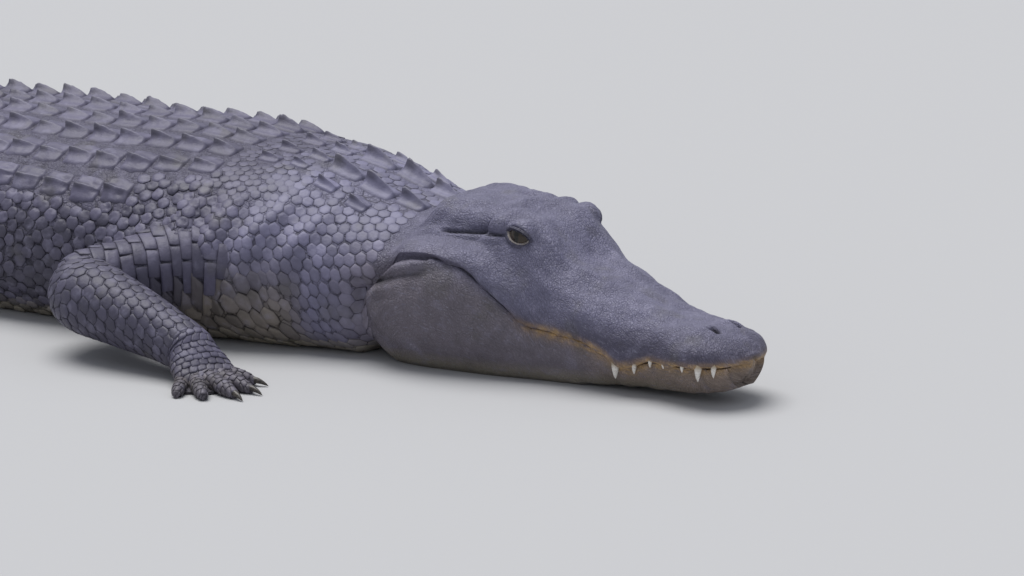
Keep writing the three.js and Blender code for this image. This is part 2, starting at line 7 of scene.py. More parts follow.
import bpy
import numpy as np
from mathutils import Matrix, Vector


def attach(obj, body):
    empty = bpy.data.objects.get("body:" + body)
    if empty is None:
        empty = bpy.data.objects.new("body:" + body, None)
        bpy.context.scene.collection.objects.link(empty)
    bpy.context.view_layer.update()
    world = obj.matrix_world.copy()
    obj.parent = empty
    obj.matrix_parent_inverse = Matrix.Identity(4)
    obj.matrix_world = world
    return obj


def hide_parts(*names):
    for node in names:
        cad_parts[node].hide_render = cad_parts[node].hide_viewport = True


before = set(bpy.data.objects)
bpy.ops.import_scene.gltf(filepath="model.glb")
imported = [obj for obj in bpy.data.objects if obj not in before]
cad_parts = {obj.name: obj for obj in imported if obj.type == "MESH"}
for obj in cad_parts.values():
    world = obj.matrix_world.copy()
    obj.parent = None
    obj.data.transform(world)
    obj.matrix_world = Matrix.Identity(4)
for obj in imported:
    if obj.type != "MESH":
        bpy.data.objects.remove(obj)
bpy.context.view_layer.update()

# The backbone and the round of the body. A live animal's trunk is one length of muscle and hide, so
# neck, trunk and tail are one curve of sections, carried along a line that bends at head and tail.
HEAD_END, TOTAL, ORIGIN_S, STEP = 440, 3080, 1000, 4
HEAD_TURN, TAIL_SWEEP, TAIL_RETURN = -7, -24, 44


def smooth(x, start, end):
    """0 before start, 1 after end, and 3t^2 - 2t^3 between."""
    t = np.clip((x - start) / (end - start), 0, 1)
    return t * t * (3 - 2 * t)


def mix(a, b, t):
    """a plus t times the way to b."""
    return a + (b - a) * t


def bump(x, centre, width):
    """A bell, 1 at the centre, falling as e to the minus (distance over width) squared."""
    return np.exp(-(((x - centre) / width) ** 2))


def power(x, exponent):
    """x to the exponent, with the sign of x kept."""
    return np.sign(x) * np.abs(x) ** exponent


def unit(v):
    """v over its own length."""
    return v / np.maximum(np.linalg.norm(v, axis=-1, keepdims=True), 1e-9)


def profile(points):
    """A curve through (x, value) points: cubic Hermite pieces with harmonic mean slopes."""
    x, y = np.array(points, float).T
    rise = np.diff(y) / np.diff(x)
    before, after = rise[:-1], rise[1:]
    same = before * after > 0
    middle = np.where(same, 2 * before * after / np.where(same, before + after, 1), 0)
    slope = np.concatenate([rise[:1], middle, rise[-1:]])

    def at(value):
        v = np.clip(value, x[0], x[-1])
        i = np.clip(np.searchsorted(x, v, "right") - 1, 0, len(x) - 2)
        wide = x[i + 1] - x[i]
        t = (v - x[i]) / wide
        ends = (1 + 2 * t) * (1 - t) ** 2 * y[i] + t * t * (3 - 2 * t) * y[i + 1]
        return ends + wide * t * (1 - t) * ((1 - t) * slope[i] - t * slope[i + 1])

    return at


def heading(s):
    """The turn of the backbone at s, in radians: the head's, then the tail's two sweeps."""
    head = HEAD_TURN * (1 - smooth(s, 450, 760))
    tail = TAIL_SWEEP * smooth(s, 1480, 2150) + TAIL_RETURN * smooth(s, 2250, TOTAL)
    return np.radians(head + tail)


line_s = np.arange(0, TOTAL + 3 * STEP, STEP)
line_turn = heading(line_s + STEP / 2)
line = -STEP * np.cumsum(np.stack([np.cos(line_turn), np.sin(line_turn)], 1), 0)
line = np.concatenate([[[0, 0]], line])[:-1]
line -= line[ORIGIN_S // STEP]


def place(s, left, z):
    """The world point at length s: the backbone's point, plus left along its own left, at height z."""
    turn = heading(s)
    ahead = -np.minimum(s, 0) - np.maximum(s - TOTAL, 0)
    x = np.interp(s, line_s, line[:, 0]) + ahead * np.cos(turn) - left * np.sin(turn)
    y = np.interp(s, line_s, line[:, 1]) + ahead * np.sin(turn) + left * np.cos(turn)
    return np.stack(np.broadcast_arrays(x, y, z), -1)


body_width = profile([
    [300, 92], [372, 112], [440, 132], [520, 154], [600, 178], [680, 194], [800, 208], [960, 218],
    [1120, 216], [1260, 200], [1390, 170], [1500, 138], [1620, 112], [1800, 90], [2000, 74],
    [2300, 52], [2600, 32], [2860, 18], [3060, 7], [TOTAL, 4]])
body_height = profile([
    [300, 60], [372, 112], [440, 160], [500, 172], [580, 190], [660, 204], [800, 211], [960, 208],
    [1120, 206], [1260, 201], [1390, 190], [1500, 175], [1620, 164], [1800, 146], [2000, 130],
    [2300, 104], [2600, 74], [2860, 46], [3060, 18], [TOTAL, 10]])
widest_share = profile([[300, 0.46], [520, 0.44], [800, 0.38], [1300, 0.38], [1600, 0.42], [TOTAL, 0.45]])
belly_sink = profile([[300, 12], [520, 16], [800, 26], [1300, 26], [1600, 16], [2400, 8], [TOTAL, 1]])
top_squareness = profile([[300, 0.9], [700, 0.86], [1300, 0.84], [1600, 0.8], [2400, 1], [TOTAL, 1]])


def body_section(s, angle):
    """Half a section, angle 0 under the belly and pi on the back: a superellipse above its widest
    place, a flattened one below it, cut off by the floor."""
    widest = body_height(s) * widest_share(s)
    up = -np.cos(angle)
    out = body_width(s) * power(np.sin(angle), 0.9)
    above = widest + (body_height(s) - widest) * np.abs(up) ** top_squareness(s)
    below = widest - (widest + belly_sink(s)) * np.abs(up) ** 0.62
    return out, np.maximum(np.where(up > 0, above, below), 0)


# The head and jaws. The skull's skin is tight over bone: a rounded snout with the nostrils on a low
# mound, ridges to the brows, a flat table behind the eyes, and swollen jowls under a wavy mouth line.
lip_width = profile([
    [0, 16], [4, 29], [14, 45], [34, 58], [60, 61], [84, 59], [102, 58], [140, 68], [180, 75],
    [230, 82], [280, 95], [330, 113], [375, 126], [410, 128], [HEAD_END, 121]])
lip_height = profile([
    [0, 51], [30, 48], [70, 45], [100, 44], [138, 33], [160, 47], [205, 60], [255, 66], [286, 88],
    [310, 109], [340, 131], [375, 140], [HEAD_END, 130]])
top_height = profile([
    [0, 62], [6, 67], [20, 75], [60, 83], [110, 92], [170, 111], [220, 130], [262, 144], [300, 150],
    [340, 152], [400, 152], [HEAD_END, 148]])
top_roundness = profile([[0, 0.9], [40, 0.62], [120, 0.62], [220, 0.70], [300, 0.95], [HEAD_END, 1.1]])
JAW_TIP, JOWL_END = 9, 486
jaw_edge = profile([
    [JAW_TIP, 14], [13, 26], [20, 37], [34, 47], [60, 52], [102, 49], [140, 59], [180, 67], [230, 76],
    [280, 92], [330, 111], [380, 125], [430, 129], [470, 119], [JOWL_END, 104]])
jowl = profile([
    [JAW_TIP, 12], [16, 28], [34, 43], [102, 47], [180, 66], [230, 78], [280, 98], [330, 120], [380, 138],
    [425, 146], [462, 138], [JOWL_END, 116]])
jaw_bottom_width = profile([
    [JAW_TIP, 5], [16, 14], [34, 28], [120, 38], [230, 60], [330, 92], [420, 108], [JOWL_END, 80]])
jaw_bottom = profile([
    [JAW_TIP, 33], [14, 25], [26, 18], [60, 11], [150, 7], [230, 0], [430, 0], [470, 10], [JOWL_END, 30]])
jaw_top = profile([[360, 139], [400, 134], [430, 122], [462, 106], [JOWL_END, 78]])
EYE_RADIUS, EYE_S, EYE_LEFT, EYE_Z = 18, 288, 53, 162
MOUTH_SHARE, LIP_SHARE = 0.40, 0.43
MOUTH_LINE = (MOUTH_SHARE + LIP_SHARE) / 2


def head_relief(s, off):
    """Height above the plain top: nostril mound, brows, skull table and snout ridges, each a product
    of steps and bells along the head and out from its middle."""
    nose = 5 * bump(s, 42, 26) * (1 - smooth(off, 18, 44)) + 3.5 * bump(s, 43, 14) * bump(off, 20, 12)
    edge = mix(50, 66, smooth(s, 320, 420))
    fall = 0.2 * smooth(off, edge - 16, edge + 2) + 0.5 * smooth(off, edge, edge + 13)
    fall = fall + 0.3 * smooth(off, edge + 13, edge + 24)
    table = 39 * smooth(s, 288, 326) * (1 - 0.6 * smooth(s, 400, HEAD_END)) * (1 - fall)
    brow = 37 * mix(0.75, 1, smooth(off, 10, 38)) * (1 - smooth(off, 62, 84))
    brow = brow * smooth(s, 226, 282) * (1 - smooth(s, 312, 348))
    ridge = 6 * bump(off, mix(20, 42, smooth(s, 150, 250)), 10)
    ridge = ridge * smooth(s, 140, 210) * (1 - smooth(s, 250, 285))
    ridge = ridge - 3.5 * bump(off, 0, 16) * smooth(s, 180, 230) * (1 - smooth(s, 262, 300))
    openings = -7 * bump(s, 341, 14) * bump(off, 22, 9)
    nostril = np.exp(-((s - 39 - 0.25 * (off - 19)) / 7.0) ** 4 - ((off - 19) / 3.6) ** 4)
    return nose + np.maximum(table, brow) + ridge + openings, nostril


def lower_section(s, t):
    """Half of the jaw's section, t 0 in its middle below and 1 at the lip: flat, then a quadratic
    curve out through the jowl and up to the jaw's edge."""
    top = np.where(s < 375, lip_height(s), jaw_top(s)) - 1.2
    bottom, edge, below = jaw_bottom(s), jaw_edge(s), jaw_bottom_width(s)
    t = t ** 0.9
    k = np.clip((t - 0.22) / 0.78, 0, 1)
    through_out, through_z = jowl(s), mix(top, bottom, 0.5)
    bend_out, bend_z = 2 * through_out - (edge + below) / 2, 2 * through_z - (top + bottom) / 2
    out = (1 - k) ** 2 * below + 2 * k * (1 - k) * bend_out + k * k * edge
    z = (1 - k) ** 2 * bottom + 2 * k * (1 - k) * bend_z + k * k * top
    return np.where(t < 0.22, below * t / 0.22, out), z


def upper_section(s, t):
    """Half of the upper head's section, t 0 at the lip and 1 in the middle above: the lip rolls out,
    then a superellipse rises to the top line with the relief on it."""
    angle = np.pi / 2 * np.clip((t - 0.05) / 0.95, 0, 1) ** 0.94
    wave = 1.2 * np.sin(s / 7.2) * smooth(s, 25, 60) * (1 - smooth(s, 350, 400))
    low = lip_height(s) + 3
    roll = smooth(t, 0, 0.07)
    out = (lip_width(s) - 2.4 * (1 - roll)) * np.cos(angle) ** 0.78
    high = top_height(s)
    relief, nostril = head_relief(s, out)
    z = low + (high - low) * np.sin(angle) ** top_roundness(s) + relief * np.sin(angle)
    z = np.where(t < 0.05, lip_height(s) + wave * (1 - t / 0.05) + 3 * t / 0.05, z)
    return out, z - 9 * nostril * smooth(t, 0.3, 0.5)


def half_section(s, u):
    """Half of the whole skin's section, u 0 below and 1 above: jaw, the crease of the mouth and upper
    head, which pass into the body's section behind the skull and behind the jowl."""
    s_low = s + JAW_TIP * (1 - smooth(s, 0, 60))
    out_low, z_low = lower_section(s_low, np.clip(u / MOUTH_SHARE, 0, 1))
    out_up, z_up = upper_section(s, np.clip((u - LIP_SHARE) / (1 - LIP_SHARE), 0, 1))
    crease = bump(u, MOUTH_LINE, 0.009) * (1 - smooth(s, 392, 436)) * mix(1, 0.3, smooth(s, 270, 340))
    share = smooth(u, MOUTH_SHARE, LIP_SHARE)
    out = mix(out_low, out_up, share) - mix(6, 3.5, smooth(s, 240, 320)) * crease
    z = mix(z_low, z_up, share)
    back = np.where(s < 8, s_low - s, 0) * (1 - share)
    angle = np.where(u < 0.415, u / 0.415 * np.pi / 2, np.pi / 2 * (1 + (u - 0.415) / 0.585))
    out_body, z_body = body_section(s, angle)
    turn_low, turn_up = smooth(s, 446, 494), smooth(s, 414, 458)
    turn = mix(turn_low, turn_up, smooth(u, 0.34, 0.5))
    arch = 5 * np.exp(-((s - (486 - 70 * (1 - z_low / 120) ** 2 - 16)) / 9) ** 2) * (u < 0.5)
    arch = arch * smooth(z_low, 6, 40) * (1 - smooth(z_low, 118, 150))
    sag = 0.3 * (s - 415)
    fold = 7 * bump(z_low, 108 - sag, 6) * smooth(s, 345, 385)
    fold = (fold - 4 * bump(z_low, 122 - sag, 8) * smooth(s, 352, 385)) * (1 - smooth(s, 440, 462))
    fold = fold + 3.2 * bump(z_low, 88 - 1.5 * sag, 7) * smooth(s, 355, 390) * (1 - smooth(s, 430, 458))
    fold = fold * (u < MOUTH_SHARE)
    return mix(out, out_body, turn) - arch - fold, mix(z, z_body, turn), back


def ring_places():
    """The lengths of the skin's rings: steps that grow from 2 mm at the snout to 24 mm on the tail."""
    step = profile([
        [0, 2], [30, 2.4], [120, 3.4], [260, 3.0], [400, 3.2], [480, 4], [720, 7.6], [1500, 11], [1620, 18],
        [2300, 23], [TOTAL, 24]])
    places = [0.0]
    while places[-1] < TOTAL - 6:
        places.append(places[-1] + float(step(places[-1])))
    return np.array(places[:-1] + [TOTAL])


ring_s = ring_places()
half_u = np.concatenate([
    np.linspace(0, 0.385, 22), np.linspace(0.393, 0.437, 11), np.linspace(0.448, 0.72, 28),
    np.linspace(0.725, 0.9, 36), np.linspace(0.911, 1, 13)])
section_out, section_z, section_back = half_section(ring_s[:, None], half_u[None, :])
# Behind the eye the edge between cheek and jowl is rounded off, most at the mouth's own line
at_mouth = int(np.abs(half_u - MOUTH_LINE).argmin())
from_edge = np.hypot(section_out - section_out[:, [at_mouth]], section_z - section_z[:, [at_mouth]])
rounding = 8.5 * np.clip(1 - from_edge / 30, 0, 1) ** 2
rounding = rounding * (smooth(ring_s, 285, 370) * (1 - smooth(ring_s, 440, 500)))[:, None]
section_out, section_z = section_out - rounding, section_z - 0.7 * rounding
ring_back = ring_s[:, None] + section_back
right_side = place(ring_back, -section_out, section_z)
left_side = place(ring_back, section_out, section_z)
body_points = np.concatenate([right_side, left_side[:, -2:0:-1]], 1)
# The end rings are drawn in to close the snout and the tail
snout = np.array([body_points[0] * [1, 1, 0] for _ in range(3)])
middle = body_points[0].mean(0)
for k, share in enumerate((0.35, 0.66, 0.88)):
    shrunk = mix(middle, body_points[0], [share, share, share ** 0.7])
    snout[k] = shrunk + [5.5 * (1 - share ** 2) ** 0.5, -0.6, 0]
body_points = np.concatenate([snout, body_points])
ring_s = np.concatenate([[-4.5, -3.2, -1.6], ring_s])


def surface_normals(points):
    """Unit normals of a closed grid of rings: the cross product of its two directions, outwards."""
    around = np.roll(points, -1, 1) - np.roll(points, 1, 1)
    length = np.gradient(points, axis=0)
    normal = unit(np.cross(length, around))
    outward = ((points - points.mean(1, keepdims=True)) * normal).sum()
    return normal * np.sign(outward)


# The limbs. Each is a thick upper length, a leaner lower one and a flat foot with free or webbed
# digits, all of one skin with the trunk, swelling into each other where they meet.
FORE_S, HIND_S = 690, 1390
UPPER_ARM = [
    [80, 64, 74, 38, 38], [48, 128, 82, 45, 46], [-22, 188, 86, 38, 40], [-64, 236, 84, 34, 36],
    [-94, 268, 80, 31, 34], [-108, 288, 77, 21, 24], [-112, 296, 76, 6, 8]]
FOREARM = [
    [-110, 292, 72, 6, 8], [-100, 294, 72, 31, 33], [-58, 300, 68, 43, 41], [4, 306, 56, 38, 36],
    [62, 312, 42, 29.5, 29], [92, 316, 33, 25.6, 22.6], [103, 321, 28, 19, 14]]
PALM = [
    [78, 314, 38, 25, 23], [92, 316, 33, 25.6, 22.4], [104, 322, 27, 29, 19], [118, 330, 19, 35, 15],
    [130, 337, 13, 34, 10], [138, 342, 8, 26, 7]]
FINGERS = [
    [314, 130, 302, 176, 10], [328, 136, 334, 196, 10], [341, 135, 364, 194, 10],
    [352, 127, 392, 168, 9], [358, 114, 400, 134, 8]]
THIGH = [
    [-20, 90, 92, 50, 56], [20, 150, 96, 52, 58], [66, 204, 88, 44, 50], [104, 244, 76, 34, 40],
    [118, 262, 70, 22, 26], [124, 270, 68, 7, 8]]
SHANK = [
    [122, 266, 62, 7, 8], [108, 270, 58, 28, 32], [58, 284, 50, 34, 36], [0, 300, 38, 26, 27],
    [-36, 310, 27, 21, 20], [-42, 319, 21, 15, 13]]
SOLE = [
    [-28, 307, 29, 21, 20], [-36, 310, 27, 21, 19.5], [-44, 322, 20, 24, 17], [-34, 344, 15, 30, 13],
    [-10, 366, 11, 36, 10], [10, 382, 8, 34, 7]]
TOES = [[348, 20, 352, 78, 11], [366, 22, 392, 98, 11], [382, 12, 436, 90, 11], [396, -6, 466, 50, 10]]
CLAWED = 3


def from_trunk(s, side, forward, out, up):
    """The world point that lies so far forward, out and up from the floor under the backbone at s."""
    turn, root = heading(s), place(s, 0, 0)
    x = root[0] + forward * np.cos(turn) - side * out * np.sin(turn)
    y = root[1] + forward * np.sin(turn) + side * out * np.cos(turn)
    return np.stack([x, y, up + 0 * x], -1)


def loft(name, points, s, side, rings, around, exponent=0.9):
    """A tube along a curve through (forward, out, up, half width, half height) points. Its rings are
    superellipses across the curve, cut off by the floor."""
    points = np.array(points, float)
    chord = np.concatenate([[0], np.cumsum(np.linalg.norm(np.diff(points[:, :3], axis=0), axis=1))])
    t = np.linspace(0, chord[-1], rings)
    forward, out, up, wide, high = (profile(np.stack([chord, points[:, k]], 1))(t) for k in range(5))
    centre = from_trunk(s, side, forward, out, up)
    along = unit(np.gradient(centre, axis=0))
    across = unit(np.cross([0, 0, 1.0], along))
    above = unit(np.cross(along, across))
    angle = np.linspace(0, 2 * np.pi, around, endpoint=False)
    ring = (centre[:, None] + (wide[:, None] * power(np.cos(angle), exponent))[..., None] * across[:, None]
            + (high[:, None] * power(np.sin(angle), exponent))[..., None] * above[:, None])
    ring[..., 2] = np.maximum(ring[..., 2], 0)
    return {"name": name, "points": ring, "along": t, "centre": centre, "across": across, "above": above,
            "wide": wide, "high": high}


def digit_line(finger, thick_root=1.12):
    """A digit's points: from inside the palm, over a low knuckle, to a blunt tip near the floor."""
    out0, forward0, out1, forward1, thick = finger
    shares = np.array([-0.3, 0.0, 0.3, 0.55, 0.78, 0.9, 0.94])
    size = np.array([thick_root, 1.08, 0.95, 0.9, 0.72, 0.5, 0.12]) * thick
    lift = size * np.array([0.8, 0.95, 1.05, 0.95, 0.85, 0.9, 1.2])
    return [[mix(forward0, forward1, t), mix(out0, out1, t), z, w, w] for t, w, z in zip(shares, size, lift)]


def web_line(a, b):
    """A web's points between two digits: their midpoints, as wide as they stand apart, thinning out."""
    rows = []
    for t in (-0.2, 0, 0.15, 0.3, 0.42, 0.5):
        pa = [mix(a[1], a[3], t), mix(a[0], a[2], t)]
        pb = [mix(b[1], b[3], t), mix(b[0], b[2], t)]
        apart = np.hypot(pa[0] - pb[0], pa[1] - pb[1]) / 2
        high = mix(5.2, 1.6, smooth(t, -0.2, 0.5))
        rows.append([(pa[0] + pb[0]) / 2, (pa[1] + pb[1]) / 2, high, apart, high])
    return rows


def limb(name, s, side, upper, lower, palm, digits):
    """All the tubes of one limb, in the order in which they are joined."""
    made = [
        loft(name + "_upper", upper, s, side, 34, 40), loft(name + "_lower", lower, s, side, 32, 36),
        loft(name + "_palm", palm, s, side, 16, 32)]
    for k, finger in enumerate(digits):
        made.append(loft(f"{name}_digit{k}", digit_line(finger), s, side, 16, 12, 1))
    for k in range(len(digits) - 1):
        made.append(loft(f"{name}_web{k}", web_line(digits[k], digits[k + 1]), s, side, 7, 12, 0.8))
    return made


limbs = {}
for side, hand in ((-1, "right"), (1, "left")):
    limbs["fore_" + hand] = limb("fore_" + hand, FORE_S, side, UPPER_ARM, FOREARM, PALM, FINGERS)
    limbs["hind_" + hand] = limb("hind_" + hand, HIND_S, side, THIGH, SHANK, SOLE, TOES)


def outside_loft(points, tube):
    """How far points stand outside a tube: their distance from the nearest ring's centre, less the
    share of it that lies inside that ring's ellipse."""
    flat = points.reshape(-1, 3)
    gap = flat[:, None] - tube["centre"][None]
    nearest = (gap ** 2).sum(-1).argmin(1)
    gap = gap[np.arange(len(flat)), nearest]
    u = (gap * tube["across"][nearest]).sum(-1)
    v = (gap * tube["above"][nearest]).sum(-1)
    distance = np.linalg.norm(gap, axis=-1)
    w = np.sqrt(np.maximum(distance ** 2 - u ** 2 - v ** 2, 0))
    wide, high = tube["wide"][nearest], tube["high"][nearest]
    share = np.sqrt((u / wide) ** 2 + (v / high) ** 2 + (w / ((wide + high) / 2)) ** 2)
    return (distance * (1 - 1 / np.maximum(share, 1e-6))).reshape(points.shape[:-1])


def outside_trunk(points):
    """How far points stand outside the trunk: their distance from the middle of the section at their
    own length, less that section's reach in the same direction."""
    flat = points.reshape(-1, 3)
    nearest = ((flat[:, None, :2] - line[None, 80:450]) ** 2).sum(-1).argmin(1) + 80
    s, turn = line_s[nearest], heading(line_s[nearest])
    left = -(flat[:, 0] - line[nearest, 0]) * np.sin(turn) + (flat[:, 1] - line[nearest, 1]) * np.cos(turn)
    angle = np.linspace(0.02, np.pi, 100)
    out, z = body_section(s[:, None], angle[None])
    middle = body_height(s) * 0.45
    wanted = np.arctan2(flat[:, 2] - middle, np.abs(left))
    there = np.arctan2(z - middle[:, None], out)
    pick = np.abs(there - wanted[:, None]).argmin(1)
    reach = np.hypot(out, z - middle[:, None])[np.arange(len(flat)), pick]
    return (np.hypot(left, flat[:, 2] - middle) - reach).reshape(points.shape[:-1])


def swell(points, normals, clear, reach):
    """Moves points out by (reach - clearance)^2 / (4 reach) near another surface, so that two rounds
    that cross meet in a smooth hollow."""
    depth = np.clip(reach - np.maximum(clear, 0), 0, reach)
    return points + normals * (depth ** 2 / (4 * reach))[..., None]


ROOT_REACH, ELBOW_REACH, WRIST_REACH, KNUCKLE_REACH, PALM_REACH, WEB_REACH = 46, 22, 14, 8, 6, 4
body_normals = surface_normals(body_points)
near_fore = (ring_s > 480) & (ring_s < 900)
near_hind = (ring_s > 1180) & (ring_s < 1560)
swollen = body_points.copy()
for name, tubes in limbs.items():
    rows = near_fore if name.startswith("fore") else near_hind
    clear = outside_loft(body_points[rows], tubes[0])
    swollen[rows] = swell(swollen[rows], body_normals[rows], clear, ROOT_REACH)
    for tube in tubes:
        tube["normals"] = surface_normals(tube["points"])
        tube["swollen"] = tube["points"].copy()
    trunk_clear = outside_trunk(tubes[0]["points"])
    tubes[0]["swollen"] = swell(tubes[0]["swollen"], tubes[0]["normals"], trunk_clear, ROOT_REACH)
    for a, b, reach in [(0, 1, ELBOW_REACH), (1, 2, WRIST_REACH)]:
        for first, second in ((a, b), (b, a)):
            clear = outside_loft(tubes[first]["points"], tubes[second])
            tubes[first]["swollen"] = swell(tubes[first]["swollen"], tubes[first]["normals"], clear, reach)
    for tube in tubes[3:]:
        clear = outside_loft(tube["points"], tubes[2])
        tube["swollen"] = swell(tube["swollen"], tube["normals"], clear, KNUCKLE_REACH)
        clear = outside_loft(tubes[2]["points"], tube)
        tubes[2]["swollen"] = swell(tubes[2]["swollen"], tubes[2]["normals"], clear, PALM_REACH)
        if "web" in tube["name"]:
            for other in tubes[3:]:
                if "digit" in other["name"]:
                    clear = outside_loft(tube["points"], other)
                    tube["swollen"] = swell(tube["swollen"], tube["normals"], clear, WEB_REACH)
    for tube in tubes:
        tube["points"] = tube["swollen"]
        tube["points"][..., 2] = np.maximum(tube["points"][..., 2], 0)
        tube["normals"] = surface_normals(tube["points"])
body_points = swollen
body_points[..., 2] = np.maximum(body_points[..., 2], 0)


# Folds and unevenness of the hide. Loose skin lies in folds on the throat, above the arm's root and
# round the belly, bone under the skull's skin is pitted, and no side of a live animal is quite even.
def waves(s, d, size, seed, layers=3):
    """Soft noise from -1 to 1: a sum of sine products at random angles, each layer half the size."""
    made, draw = 0, np.random.default_rng(seed)
    for k in range(layers):
        for _ in range(3):
            turn, shift = draw.uniform(0, np.pi), draw.uniform(0, 20, 2)
            a = (s * np.cos(turn) + d * np.sin(turn)) / size * 2 ** k
            b = (d * np.cos(turn) - s * np.sin(turn)) / size * 2 ** k
            made = made + np.sin(a * 2.1 + shift[0]) * np.sin(b * 1.9 + shift[1]) / 2 ** k
    return made / 3


body_normals = surface_normals(body_points)
BACK = len(half_u) - 1
step_around = np.linalg.norm(np.diff(np.concatenate([body_points, body_points[:, :1]], 1), axis=1), axis=2)
travelled = np.concatenate([np.zeros((len(ring_s), 1)), np.cumsum(step_around, 1)], 1)
body_d = travelled[:, :-1] - travelled[:, BACK:BACK + 1]
grid_s = np.repeat(ring_s[:, None], body_d.shape[1], 1)
height = body_points[..., 2]
off_middle = np.abs(body_d)
lift = 1.5 * waves(grid_s, body_d, 18, 3) * smooth(grid_s, 4, 30) * (1 - smooth(grid_s, 430, 470))
on_snout = smooth(grid_s, 60, 110) * (1 - smooth(grid_s, 250, 300)) * smooth(height, 50, 80)
lift = lift + 2.9 * waves(grid_s, body_d, 34, 8, 3) * on_snout
ear_line = height - mix(162, 157, smooth(grid_s, 300, 390))
ear_reach = smooth(grid_s, 300, 312) * (1 - smooth(grid_s, 378, 396))
ear_slit = bump(ear_line, 0, 2.2) * ear_reach
lift = lift + (4.5 * bump(ear_line, 12, 11) + 1.6 * bump(ear_line, -5, 4)) * ear_reach - 6.5 * ear_slit
on_trunk = smooth(grid_s, 430, 560) * (1 - smooth(grid_s, 1400, 1900))
lift = lift + 3.0 * waves(grid_s, body_d, 95, 4, 2) * on_trunk
fold_zone = smooth(grid_s, 500, 560) * (1 - smooth(grid_s, 700, 760))
fold_zone = fold_zone * smooth(height, 20, 60) * (1 - smooth(height, 150, 185))
lift = lift + 3.4 * fold_zone * np.sin((grid_s + 0.35 * height + 8 * waves(grid_s, body_d, 60, 5, 2)) / 8.5)
flank_zone = smooth(grid_s, 860, 960) * (1 - smooth(grid_s, 1250, 1340)) * (1 - smooth(height, 60, 130))
lift = lift + 4 * flank_zone * np.sin((height + 0.1 * grid_s) / 11)
crease_path = grid_s + 0.9 * off_middle + 14 * waves(grid_s, body_d, 80, 12, 2)
creases = bump(np.mod(crease_path, 31), 15.5, 2.6)
creases = creases * smooth(off_middle, 120, 170) * (1 - smooth(off_middle, 300, 360))
creases = creases * smooth(grid_s, 600, 680) * (1 - smooth(grid_s, 1380, 1450))
lift = lift - 3.4 * creases
lift[height <= 0.01] = 0
body_points = body_points + body_normals * lift[..., None]
body_points[..., 2] = np.maximum(body_points[..., 2], 0)


# The lids. The skin round the eye is drawn down to the ball and opens in an almond, whose edge is a
# collar of lid: a beaded rim that lies on the ball, then two folds that pass into the skin.
def eye_side(side):
    """The eye's centre and its own directions: forward, up and out."""
    centre = place(float(EYE_S), side * EYE_LEFT, EYE_Z)
    turn = heading(EYE_S)
    forward = np.array([np.cos(turn), np.sin(turn), 0])
    out = side * np.array([-np.sin(turn), np.cos(turn), 0])
    out = unit(out + 0.18 * forward + np.array([0, 0, 0.12]))
    up = unit(np.cross(forward, out) * side)
    if up[2] < 0:
        up = -up
    ahead = unit(np.cross(out, up))
    return centre, ahead * (1 if np.dot(ahead, forward) > 0 else -1), up, out


ALMOND_LONG, ALMOND_HIGH, UPPER_LID, LID_TILT = 18.0, 8.0, 0.68, 0.26


def almond(x, y):
    """Below 1 inside the opening: two arcs that meet in corners, the front one lower."""
    half = ALMOND_HIGH * np.clip(1 - np.abs(x / ALMOND_LONG) ** 2.2, 0.0001, 1) ** 0.75
    return np.maximum(np.abs(y) / half / np.where(y > 0, UPPER_LID, 1), np.abs(x) / ALMOND_LONG)


def lid_ring(side, directions, reach):
    """A collar of lid round the almond, in rings from its rim on the eyeball out to the skin: each
    point's distance from the eye's centre is the lid's own section, then the skin's distance there."""
    centre, forward, up, out = eye_side(side)
    angle = np.linspace(0, 2 * np.pi, 97)[:-1][None]
    q = np.array([
        0.93, 0.97, 1.0, 1.04, 1.08, 1.13, 1.18, 1.24, 1.30, 1.37, 1.45, 1.55, 1.67, 1.8, 1.95, 2.1])[:, None]
    x = (1 + 0.6 * (q - 1)) * ALMOND_LONG * np.cos(angle)
    arc = np.sign(np.sin(angle)) * np.abs(np.sin(angle)) ** mix(1.3, 1.0, smooth(q, 1, 1.8))
    y = q * ALMOND_HIGH * arc * np.where(arc > 0, UPPER_LID, 1) - LID_TILT * x
    way = unit(x[..., None] * forward + y[..., None] * up + EYE_RADIUS * out)
    weight = np.exp((way @ directions.T - 1) / 0.004)
    under = (weight @ reach) / weight.sum(-1)
    top = smooth(np.sin(angle), -0.3, 0.5)
    section = 0.2 + 1.9 * smooth(q, 0.95, 1.07) + 0.4 * np.sin(angle * 30) * bump(q, 1.06, 0.05)
    section = section - mix(0.8, 1.4, top) * bump(q, 1.20, 0.06) + mix(0.8, 1.9, top) * smooth(q, 1.2, 1.4)
    section = section - 0.9 * top * bump(q, 1.58, 0.09)
    under = np.minimum(under + 0.5, EYE_RADIUS + 4.0)
    radius = mix(EYE_RADIUS + section, under, smooth(q, 1.45, 1.95)) - 3.0 * smooth(q, 1.85, 2.1)
    radius = np.where(q < 0.95, EYE_RADIUS - 1.6, radius)
    return centre + way * radius[..., None], q + 0 * angle, np.stack([x, y], -1) * 0.001


